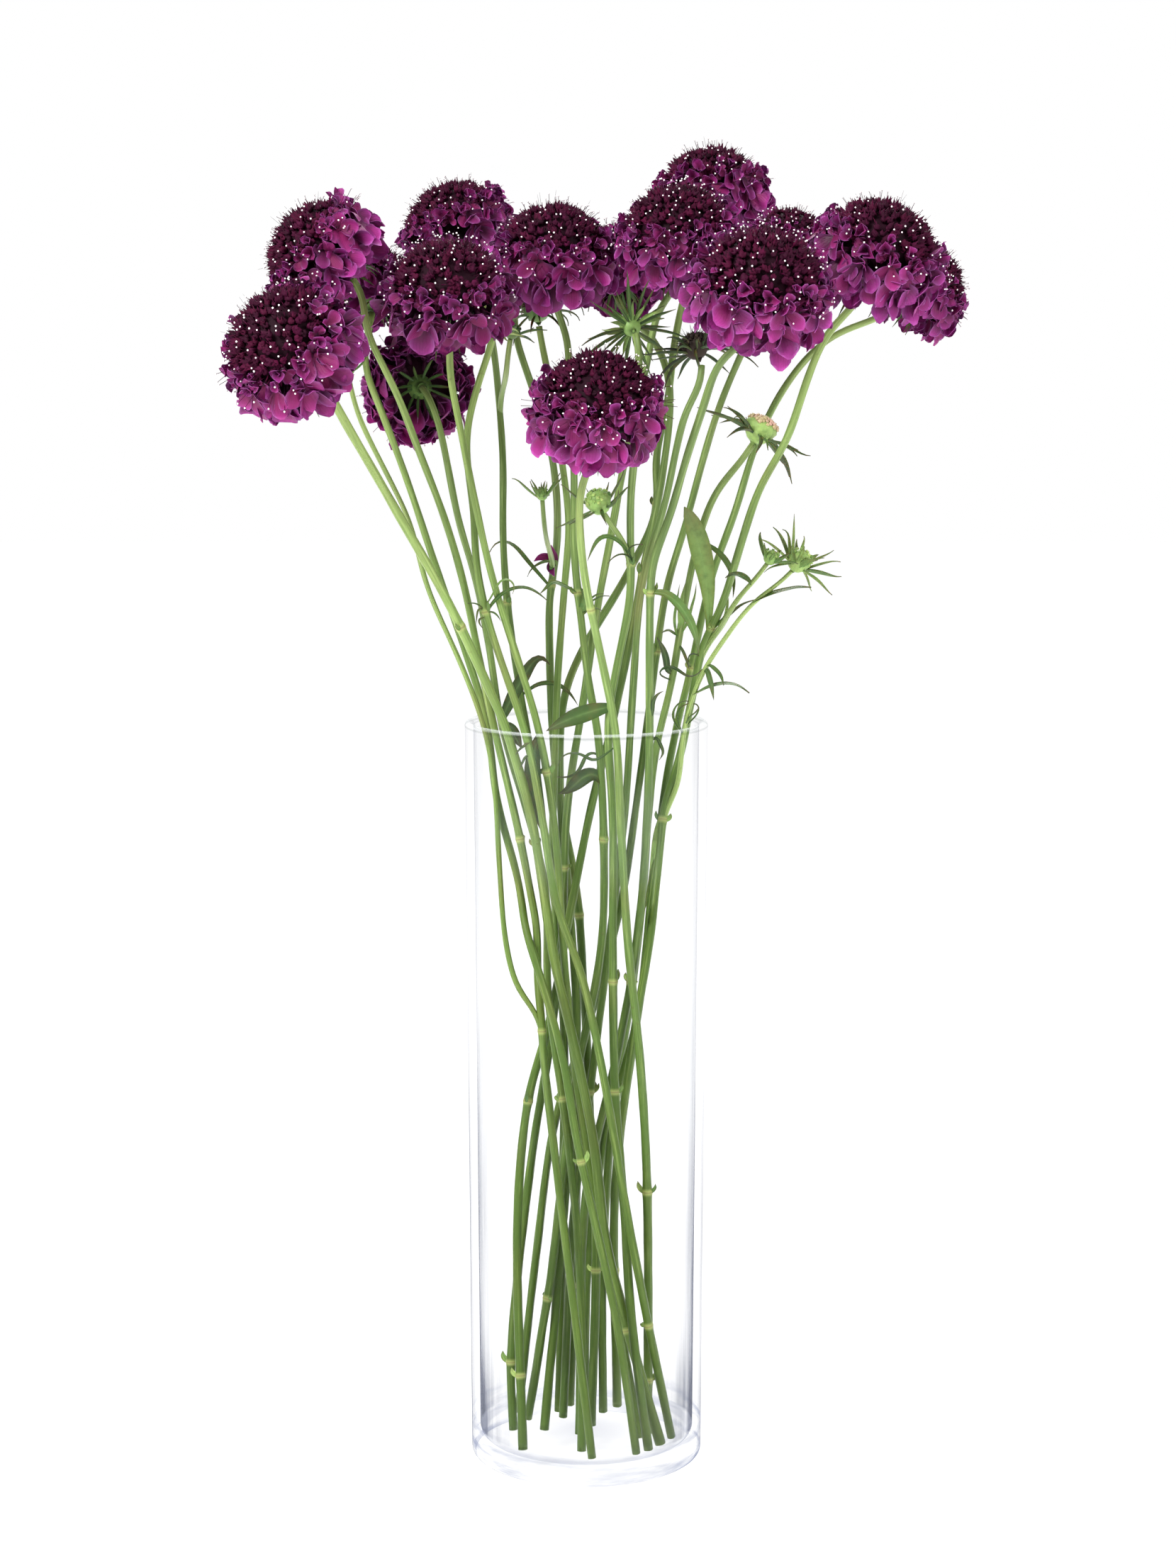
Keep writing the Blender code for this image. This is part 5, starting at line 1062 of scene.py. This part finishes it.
def petal_material():
    n = Nodes("petal", 0.55, Sheen_Weight=0.05, Sheen_Roughness=0.30, Subsurface_Weight=0.05, Subsurface_Scale=0.003)
    n.b.inputs["Sheen Tint"].default_value = (0.90, 0.45, 0.85, 1)
    n.b.inputs["Subsurface Radius"].default_value = (1.0, 0.25, 0.8)
    n.b.inputs["Specular IOR Level"].default_value = 0.22
    u, v, rnd, tone = n.fx()
    mottled = n.noise(260.0)
    base = n.ramp(n.math("ADD", u, n.math("MULTIPLY", n.math("SUBTRACT", mottled, 0.5), 0.22)), [(0.0, (0.032, 0.0026, 0.017)), (0.34, (0.068, 0.0032, 0.036)), (0.62, (0.138, 0.0068, 0.082)), (0.88, (0.300, 0.022, 0.215)), (1.0, (0.520, 0.085, 0.430))])
    dark = n.ramp(u, [(0.0, (0.027, 0.0023, 0.014)), (0.5, (0.050, 0.0026, 0.024)), (1.0, (0.118, 0.0052, 0.058))])
    # low tone picks the darker ramp: random per floret, and painted shade on heads deep in the bunch
    c = n.mix(n.math("POWER", tone, 1.2), dark, base)
    # veins run from the throat to the rim
    across = n.math("MULTIPLY", n.math("SUBTRACT", v, 0.5), n.math("ADD", 22.0, n.math("MULTIPLY", rnd, 9.0)))
    vein = n.math("ABSOLUTE", n.math("SINE", n.math("ADD", across, n.math("MULTIPLY", mottled, 6.5))))
    vein = n.math("POWER", n.math("SUBTRACT", 1.0, vein), 3.0)
    c = n.mix(n.math("MULTIPLY", vein, 0.20), c, (0.060, 0.002, 0.034))
    warm = n.mix(n.math("MULTIPLY", rnd, 0.45), c, (0.30, 0.008, 0.105), "MIX")
    c = n.mix(n.math("MULTIPLY", n.math("GREATER_THAN", rnd, 0.45), 0.85), c, warm)
    blotch = n.noise(95.0, 2.0)
    c = n.mix(n.math("MULTIPLY", n.math("SUBTRACT", blotch, 0.42, True), 1.3), c, (0.060, 0.002, 0.035))
    # painted highlight: a pale violet edge on each lobe, stronger towards its tip
    rim_highlight = n.math("POWER", n.math("ABSOLUTE", n.math("MULTIPLY", n.math("SUBTRACT", v, 0.5), 2.0)), 5.0)
    c = n.mix(n.math("MULTIPLY", rim_highlight, n.math("MULTIPLY", u, 0.50)), c, (0.50, 0.17, 0.52))
    n.put(c, n.b.inputs["Base Color"])
    n.put(n.math("ADD", 0.42, n.math("MULTIPLY", mottled, 0.28)), n.b.inputs["Roughness"])
    n.bump(n.math("ADD", n.math("MULTIPLY", vein, -0.45), mottled), 0.45, 0.00035)
    return n.mat


def dome_material():
    n = Nodes("dome", 0.6)
    n.b.inputs["Specular IOR Level"].default_value = 0.09
    u, v, rnd, tone = n.fx()
    c = n.mix(tone, (0.015, 0.0022, 0.007), (0.112, 0.0048, 0.046))
    c = n.mix(n.math("MULTIPLY", n.math("GREATER_THAN", rnd, 0.70), 0.5), c, (0.082, 0.0035, 0.026))
    mottled = n.noise(420.0)
    c = n.mix(n.math("MULTIPLY", n.math("SUBTRACT", mottled, 0.40, True), 1.2), c, (0.010, 0.0014, 0.005))
    n.put(c, n.b.inputs["Base Color"])
    n.put(n.math("ADD", 0.50, n.math("MULTIPLY", mottled, 0.35)), n.b.inputs["Roughness"])
    n.bump(mottled, 0.6, 0.0005)
    return n.mat


def pin_material():
    n = Nodes("stigma", 0.42)
    speck = n.noise(900.0)
    n.put(n.ramp(speck, [(0.3, (0.70, 0.60, 0.62)), (0.7, (0.97, 0.93, 0.93))]), n.b.inputs["Base Color"])
    n.bump(speck, 0.3, 0.0001)
    return n.mat


def stem_material():
    n = Nodes("stem", 0.42, Sheen_Weight=0.04, Sheen_Roughness=0.35, Subsurface_Weight=0.06, Subsurface_Scale=0.003)
    n.b.inputs["Sheen Tint"].default_value = (0.85, 0.95, 0.55, 1)
    n.b.inputs["Subsurface Radius"].default_value = (0.6, 1.0, 0.3)
    n.b.inputs["Specular IOR Level"].default_value = 0.32
    node, round_, tone, along = n.fx()
    # long fibres: noise drawn out along the stem
    place = n.new("ShaderNodeCombineXYZ")
    n.put(n.math("MULTIPLY", round_, 6.5), place.inputs[0])
    n.put(n.math("MULTIPLY", along, 17.0), place.inputs[1])
    n.put(n.math("MULTIPLY", tone, 190.0), place.inputs[2])
    streak = n.noise(1.0, 3.0, 0.60, place.outputs[0])
    fine = n.new("ShaderNodeCombineXYZ")
    n.put(n.math("MULTIPLY", round_, 16.0), fine.inputs[0])
    n.put(n.math("MULTIPLY", along, 60.0), fine.inputs[1])
    n.put(n.math("MULTIPLY", tone, 90.0), fine.inputs[2])
    thread = n.noise(1.0, 2.0, 0.5, fine.outputs[0])
    patch = n.noise(24.0, 2.0, 0.5)
    speck = n.noise(520.0, 3.0, 0.6)
    c = n.ramp(along, [(0.0, (0.29, 0.38, 0.110)), (0.16, (0.205, 0.300, 0.085)), (0.38, (0.120, 0.205, 0.048)), (0.66, (0.085, 0.155, 0.026)), (1.0, (0.120, 0.170, 0.030))])
    # tone lightens or darkens the whole stem: its own colour, and painted shade on stems in the middle of the bunch
    c = n.mix(n.math("MULTIPLY", n.math("SUBTRACT", tone, 0.5, True), 2.4), c, (0.340, 0.450, 0.150))
    c = n.mix(n.math("MULTIPLY", n.math("SUBTRACT", 0.5, tone, True), 2.4), c, (0.075, 0.130, 0.036))
    c = n.mix(n.math("MULTIPLY", n.math("SUBTRACT", patch, 0.52, True), 2.2), c, (0.200, 0.170, 0.062))
    c = n.mix(n.math("MULTIPLY", n.math("SUBTRACT", streak, 0.48, True), 2.5), c, (0.045, 0.088, 0.016))
    c = n.mix(n.math("MULTIPLY", n.math("SUBTRACT", 0.47, streak, True), 2.5), c, (0.400, 0.510, 0.200))
    c = n.mix(n.math("MULTIPLY", n.math("SUBTRACT", thread, 0.50, True), 0.7), c, (0.060, 0.095, 0.030))
    c = n.mix(n.math("MULTIPLY", n.math("SUBTRACT", speck, 0.62, True), 3.0), c, (0.100, 0.060, 0.035))
    c = n.mix(n.math("MULTIPLY", n.math("SUBTRACT", along, 0.20, True), 0.95), c, (0.036, 0.078, 0.006))
    c = n.mix(n.math("MULTIPLY", along, 1.5, True), c, n.mix(1.0, c, (0.98, 1.0, 0.68), "MULTIPLY"))
    c = n.mix(n.math("MULTIPLY", n.math("SUBTRACT", node, 0.25, True), 0.85), c, (0.400, 0.440, 0.140))
    c = n.mix(n.math("MULTIPLY", n.math("SUBTRACT", node, 0.86, True), 4.5), c, (0.130, 0.090, 0.035))
    cut = n.math("GREATER_THAN", node, 1.5)
    c = n.mix(cut, c, (0.62, 0.66, 0.42))
    n.put(c, n.b.inputs["Base Color"])
    n.put(n.math("ADD", 0.32, n.math("MULTIPLY", streak, 0.28)), n.b.inputs["Roughness"])
    n.bump(n.math("ADD", streak, n.math("MULTIPLY", thread, 0.5)), 0.50, 0.00035)
    return n.mat


def cream_material():
    """Unopened florets, pale and a little pink."""
    n = Nodes("cream", 0.5)
    u, v, rnd, tone = n.fx()
    c = n.mix(rnd, (0.50, 0.42, 0.20), (0.66, 0.36, 0.32))
    c = n.mix(n.math("MULTIPLY", n.noise(500.0), 0.5), c, (0.34, 0.30, 0.12))
    n.put(c, n.b.inputs["Base Color"])
    n.bump(n.noise(700.0), 0.4, 0.0002)
    return n.mat


def husk_material():
    """Dark dry hairs and seed cups."""
    n = Nodes("husk", 0.75)
    n.b.inputs["Specular IOR Level"].default_value = 0.2
    u, v, rnd, tone = n.fx()
    c = n.mix(tone, (0.018, 0.014, 0.012), (0.150, 0.105, 0.050))
    c = n.mix(n.math("MULTIPLY", n.noise(600.0), 0.6), c, (0.035, 0.020, 0.020))
    n.put(c, n.b.inputs["Base Color"])
    n.bump(n.noise(800.0), 0.5, 0.0002)
    return n.mat


def leaf_material(name, pale):
    n = Nodes(name, 0.5, Subsurface_Weight=0.06, Subsurface_Scale=0.003)
    n.b.inputs["Specular IOR Level"].default_value = 0.28
    u, v, rnd, tone = n.fx()
    grain = n.noise(330.0)
    c = n.ramp(tone, [(0.0, (0.010, 0.020, 0.009)), (0.15, (0.026, 0.062, 0.014)), (0.40, (0.078, 0.165, 0.034)), (0.70, (0.240, 0.380, 0.095)), (1.0, (0.520, 0.640, 0.200))])
    mid = n.math("POWER", n.math("SUBTRACT", 1.0, n.math("ABSOLUTE", n.math("MULTIPLY", n.math("SUBTRACT", v, 0.5), 2.0))), 6.0)
    c = n.mix(n.math("MULTIPLY", mid, 0.32), c, (0.22, 0.36, 0.11))
    c = n.mix(n.math("MULTIPLY", n.math("SUBTRACT", grain, 0.42, True), 1.5), c, (0.030, 0.075, 0.016))
    tip = n.math("POWER", u, 4.0)
    c = n.mix(n.math("MULTIPLY", tip, 0.62), c, (0.070, 0.052, 0.030))
    blotch = n.noise(110.0, 2.0)
    c = n.mix(n.math("MULTIPLY", n.math("SUBTRACT", blotch, 0.52, True), 1.6), c, (0.150, 0.120, 0.040))
    n.put(c, n.b.inputs["Base Color"])
    n.put(n.math("ADD", 0.36, n.math("MULTIPLY", grain, 0.3)), n.b.inputs["Roughness"])
    n.bump(n.math("ADD", grain, mid), 0.5, 0.0004)
    return n.mat


def glass_material():
    """Clear glass: it lets sight and lamps straight through. The cool grey where a wall
    is seen edge on and in the heavy foot is painted reflection and refraction, and
    the little white light it catches at its top edge is partly real gloss, partly a painted highlight."""
    n = Nodes("clear_glass", 0.28)
    n.b.inputs["Specular IOR Level"].default_value = 0.45
    clear = n.new("ShaderNodeBsdfTransparent")
    co = n.new("ShaderNodeTexCoord").outputs["Object"]
    parts = n.new("ShaderNodeSeparateXYZ")
    n.put(co, parts.inputs[0])
    x, y, z = parts.outputs
    lw = n.new("ShaderNodeLayerWeight")
    lw.inputs["Blend"].default_value = 0.5
    facing = lw.outputs["Facing"]

    def span(lo, hi, a, b):
        m = n.new("ShaderNodeMapRange", interpolation_type="SMOOTHSTEP")
        n.put(z, m.inputs[0])
        for i, v in enumerate((lo, hi, a, b)):
            m.inputs[i + 1].default_value = v
        return m.outputs[0]

    def patch(scale, detail, lo, gain):
        m = n.new("ShaderNodeMapping")
        m.inputs["Scale"].default_value = scale
        n.put(co, m.inputs["Vector"])
        return n.math("MULTIPLY", n.math("SUBTRACT", n.noise(1.0, detail, 0.6, m.outputs[0]), lo, True), gain, True)

    radius = n.math("SQRT", n.math("ADD", n.math("MULTIPLY", x, x), n.math("MULTIPLY", y, y)))
    outer = n.math("GREATER_THAN", radius, n.math("ADD", 0.0466, n.math("MULTIPLY", z, 0.00514)))
    inner = n.math("SUBTRACT", 1.0, outer)
    # painted reflection: the grey edge colour is broken into streaks drawn out along the wall, stronger towards the
    # heavy base
    streak = patch((150.0, 150.0, 9.0), 3.0, 0.36, 3.2)
    # painted reflection: grey where a wall is seen edge on, strong on the inner wall, faint on the outer
    edge = n.math("ADD", n.math("MULTIPLY", n.math("MULTIPLY", inner, span(0.0105, 0.0125, 0.0, 1.0)), n.math("POWER", facing, n.math("ADD", 2.6, span(0.015, 0.065, 0.0, 3.2)))), n.math("MULTIPLY", outer, n.math("MULTIPLY", n.math("POWER", facing, 9.0), 0.60)))
    edge = n.math("MULTIPLY", edge, n.math("ADD", span(0.012, 0.050, 0.6, 0.0), span(0.090, 0.200, 2.00, 0.62)))
    edge = n.math("MULTIPLY", edge, n.math("ADD", 0.18, streak), True)
    painted_optics = n.mix(edge, (0.992, 0.993, 0.995), (0.30, 0.315, 0.385))
    # light bent in the thick foot: long curls that follow the base
    curl = n.math("MULTIPLY", patch((24.0, 24.0, 190.0), 4.0, 0.46, 5.0), span(0.007, 0.024, 1.0, 0.0))
    curl = n.math("MULTIPLY", n.math("MULTIPLY", curl, outer), n.math("ADD", 0.34, n.math("MULTIPLY", facing, 1.3)), True)
    painted_optics = n.mix(curl, painted_optics, (0.55, 0.58, 0.69))
    # painted refraction: a grey ring where the inner floor meets the wall
    seat = n.math("MULTIPLY", n.math("MULTIPLY", span(0.0078, 0.0084, 0.0, 1.0), span(0.0095, 0.0125, 1.0, 0.0)), inner)
    painted_optics = n.mix(n.math("MULTIPLY", seat, 0.50), painted_optics, (0.60, 0.62, 0.70))
    # a thin grey line under the rim
    under = n.math("MULTIPLY", span(0.3090, 0.3095, 0.0, 1.0), span(0.3098, 0.3102, 1.0, 0.0))
    painted_optics = n.mix(n.math("MULTIPLY", under, 0.30), painted_optics, (0.42, 0.46, 0.44))
    n.put(painted_optics, clear.inputs["Color"])
    # painted reflection: pale patches of the opaque Principled layer on the upper outer wall, which also bring real
    # gloss
    reflection_patch = n.math("MULTIPLY", n.math("SUBTRACT", n.noise(13.0, 2.0, 0.5, co), 0.50, True), n.math("MULTIPLY", span(0.20, 0.29, 0.10, 0.42), outer))
    rim_highlight = span(0.3101, 0.3106, 0.0, 1.0)
    n.put(n.mix(rim_highlight, (0.78, 0.82, 0.84), (0.80, 0.84, 0.84)), n.b.inputs["Base Color"])
    fac = n.math("ADD", n.math("MULTIPLY", edge, 0.06), n.math("ADD", reflection_patch, n.math("MULTIPLY", rim_highlight, 0.19)), True)
    both = n.new("ShaderNodeMixShader")
    n.put(fac, both.inputs[0])
    n.put(clear.outputs[0], both.inputs[1])
    n.put(n.b.outputs[0], both.inputs[2])
    n.put(both.outputs[0], n.nt.nodes["Material Output"].inputs["Surface"])
    return n.mat


PETAL, DOME, PIN, STEM, LEAF, GLASS = petal_material(), dome_material(), pin_material(), stem_material(), leaf_material("leaf", 0.0), glass_material()
CREAM, HUSK = cream_material(), husk_material()

# ---- the flowers ----
for key in HEADS:
    head_mesh(key, [PETAL, LEAF], [DOME, PIN])

# ---- the stems, each with its shoots, buds and leaves ----
# each stem's tone: partly its own colour, partly painted shade, lowered for the stems in the middle of the bunch
STEM_TONE_AND_SHADE = dict(zip(STEMS, (0.58, 0.54, 0.46, 0.32, 0.44, 0.52, 0.30, 0.26, 0.46, 0.30, 0.40, 0.28, 0.27, 0.30, 0.36, 0.20, 0.22, 0.32, 0.31, 0.36, 0.44)))


def stem_piece(key):
    rng = np.random.default_rng(700 + int(key))
    mesh = Mesh()
    s = STEMS[key]
    fat = s.get("fat", 1)
    stem_tube(mesh, PATHS[key], STEM_TOP_R * 0.98 * fat, STEM_R * 0.98 * fat, rng, NODES[key], STEM_TONE_AND_SHADE[key])
    if "tip" in s and s["tip"] not in OWN:
        bare(mesh, s["tip"], rng, (1, 2, 3))
    for k, shoot in SHOOTS.items():
        if shoot["on"] == key:
            stem_tube(mesh, PATHS[k], SHOOT_R * (0.72 if k in ("21a", "21b", "08a") else 0.85), SHOOT_R, rng, (), {"21a": 0.72, "21b": 0.40}.get(k, STEM_TONE_AND_SHADE[key] + 0.05), cut=False, sides=8)
            bare(mesh, shoot["tip"], rng, (1, 2, 3))
    for lf in LEAVES + SMALL:
        if lf["on"][:2] == key:
            if lf["on"] not in PATHS:
                continue
            leaf(mesh, leaf_points(lf, 24), lf["w"] * (1.12 if lf["w"] == 8.8 else 1.0), lf["face"], rng, lf.get("tone", LEAF_TONE.get((lf["on"], lf["pts"][0]), 0.36)), broad=1.6 if lf["w"] == 8.8 else 1.0, mat=lf.get("mat", 1))
    ob = mesh.build("stalk_" + key, [STEM, LEAF, CREAM, HUSK, PETAL])
    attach(ob, "root")
    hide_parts("stem_" + key)


LEAF_TONE = {("13", (11, 317)): 0.20, ("21", (53.5, 347.5)): 0.56}
for key in STEMS:
    stem_piece(key)

for i, key in enumerate(OWN):
    mesh = Mesh()
    bare(mesh, key, np.random.default_rng(900 + i), (0, 1, 2))
    ob = mesh.build("bare_" + key, [LEAF, CREAM, HUSK])
    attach(ob, "root")
    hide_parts(key)


# ---- the vase ----
def vase_piece():
    def r(z):
        return VASE_R_BASE + (VASE_R_TOP - VASE_R_BASE) * z / VASE_H
    prof = [(0.0, 0.6), (r(0) * 0.72, 0.6), (r(0) - 7.0, 0.35), (r(0) - FOOT_ROUND - 1.5, 0.0)]
    prof += [(r(0) - FOOT_ROUND * (1 - math.sin(a)), FOOT_ROUND * (1 - math.cos(a))) for a in np.linspace(0, math.pi / 2, 7)]
    prof += [(r(z), z) for z in np.linspace(12, VASE_H - RIM_ROUND * 1.4, 20)]
    mid = r(VASE_H) - WALL / 2
    prof += [(mid + (WALL / 2) * math.cos(a), VASE_H - RIM_ROUND * 1.4 + RIM_ROUND * 1.4 * math.sin(a)) for a in np.linspace(0.15, math.pi - 0.15, 9)]
    prof += [(r(z) - WALL, z) for z in np.linspace(VASE_H - RIM_ROUND * 1.4, FLOOR_T + 6, 20)]
    prof += [(r(FLOOR_T) - WALL - 4.5 * (1 - math.cos(a)), FLOOR_T + 4.5 * (1 - math.sin(a))) for a in np.linspace(0.1, math.pi / 2, 6)]
    prof += [(r(0) * 0.5, FLOOR_T + 0.35), (0.0, FLOOR_T + 0.9)]
    around = 128
    t = 2 * np.pi * np.arange(around) / around
    rings = np.array([[(q * math.cos(k), q * math.sin(k), z) for k in t] for q, z in prof[1:-1]])
    v = np.concatenate([rings.reshape(-1, 3), [[0, 0, prof[0][1]], [0, 0, prof[-1][1]]]])
    n = len(rings)
    a, b = n * around, n * around + 1
    i = np.arange(around)
    j = (i + 1) % around
    tris = np.concatenate([np.stack([j, i, np.full(around, a)], axis=1), np.stack([(n - 1) * around + i, (n - 1) * around + j, np.full(around, b)], axis=1)])
    mesh = Mesh()
    mesh.add(v, [grid_faces(n, around, wrap_v=True), tris], (0, 0, 0, 0))
    ob = mesh.build("cylinder_vase", [GLASS])
    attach(ob, "root")
    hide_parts("vase")


vase_piece()

# ---- stage, light and camera ----
floor = bpy.data.meshes.new("floor")
floor.from_pydata([(-6, -6, -0.0004), (6, -6, -0.0004), (6, 6, -0.0004), (-6, 6, -0.0004)], [], [(0, 1, 2, 3)])
floor = bpy.data.objects.new("floor", floor)
bpy.context.scene.collection.objects.link(floor)
white = bpy.data.materials.new("floor")
white.use_nodes = True
plain = white.node_tree.nodes["Principled BSDF"]     # as the floor throws light back
paper = white.node_tree.nodes.new("ShaderNodeBsdfPrincipled")     # as the floor is seen: plain white
for node, shade, glow in ((plain, 0.95, 0.55), (paper, 0.14, 0.945)):
    node.inputs["Base Color"].default_value = (shade, shade, shade, 1)
    node.inputs["Roughness"].default_value = 0.9
    node.inputs["Specular IOR Level"].default_value = 0.0
    node.inputs["Emission Color"].default_value = (1, 1, 1, 1)
    node.inputs["Emission Strength"].default_value = glow
sight = white.node_tree.nodes.new("ShaderNodeLightPath")
blend = white.node_tree.nodes.new("ShaderNodeMixShader")
white.node_tree.links.new(sight.outputs["Is Camera Ray"], blend.inputs[0])
white.node_tree.links.new(plain.outputs[0], blend.inputs[1])
white.node_tree.links.new(paper.outputs[0], blend.inputs[2])
white.node_tree.links.new(blend.outputs[0], white.node_tree.nodes["Material Output"].inputs["Surface"])
floor.data.materials.append(white)

world = bpy.data.worlds.new("studio")
bpy.context.scene.world = world
world.use_nodes = True
world.node_tree.nodes["Background"].inputs["Color"].default_value = (1.0, 1.0, 1.0, 1)
soft = world.node_tree.nodes["Background"]
soft.inputs["Strength"].default_value = 0.45
seen = world.node_tree.nodes.new("ShaderNodeBackground")     # what stands behind the subject: plain white
seen.inputs["Color"].default_value = (1.0, 1.0, 1.0, 1)
seen.inputs["Strength"].default_value = 1.0
ray = world.node_tree.nodes.new("ShaderNodeLightPath")
both = world.node_tree.nodes.new("ShaderNodeMixShader")
world.node_tree.links.new(ray.outputs["Is Camera Ray"], both.inputs[0])
world.node_tree.links.new(soft.outputs[0], both.inputs[1])
world.node_tree.links.new(seen.outputs[0], both.inputs[2])
world.node_tree.links.new(both.outputs[0], world.node_tree.nodes["World Output"].inputs["Surface"])


def lamp(name, where, aim, size, watts):
    data = bpy.data.lights.new(name, "AREA")
    data.shape = "RECTANGLE"
    data.size, data.size_y = size
    data.energy = watts
    ob = bpy.data.objects.new(name, data)
    ob.location = where
    d = np.array(aim, float) - np.array(where, float)
    from mathutils import Vector
    ob.rotation_euler = Vector(d).to_track_quat("-Z", "Y").to_euler()
    bpy.context.scene.collection.objects.link(ob)


lamp("key", (-1.1, -1.2, 1.6), (0, 0, 0.4), (0.7, 0.7), 58.0)
lamp("fill", (1.3, -0.9, 1.1), (0, 0, 0.4), (0.7, 0.7), 16.0)
lamp("back", (0.2, 1.4, 1.5), (0, 0, 0.45), (1.2, 0.8), 26.0)

cam = bpy.data.cameras.new("camera")
cam.sensor_width = 36.0
cam.lens = 72.63
cam.clip_start = 0.02
camera = bpy.data.objects.new("camera", cam)
camera.location = (0.0007, -1.292, 0.4677)
camera.rotation_euler = Euler((math.radians(90 - 8.05), 0, 0))
bpy.context.scene.collection.objects.link(camera)
bpy.context.scene.camera = camera
bpy.context.scene.view_settings.view_transform = "Standard"
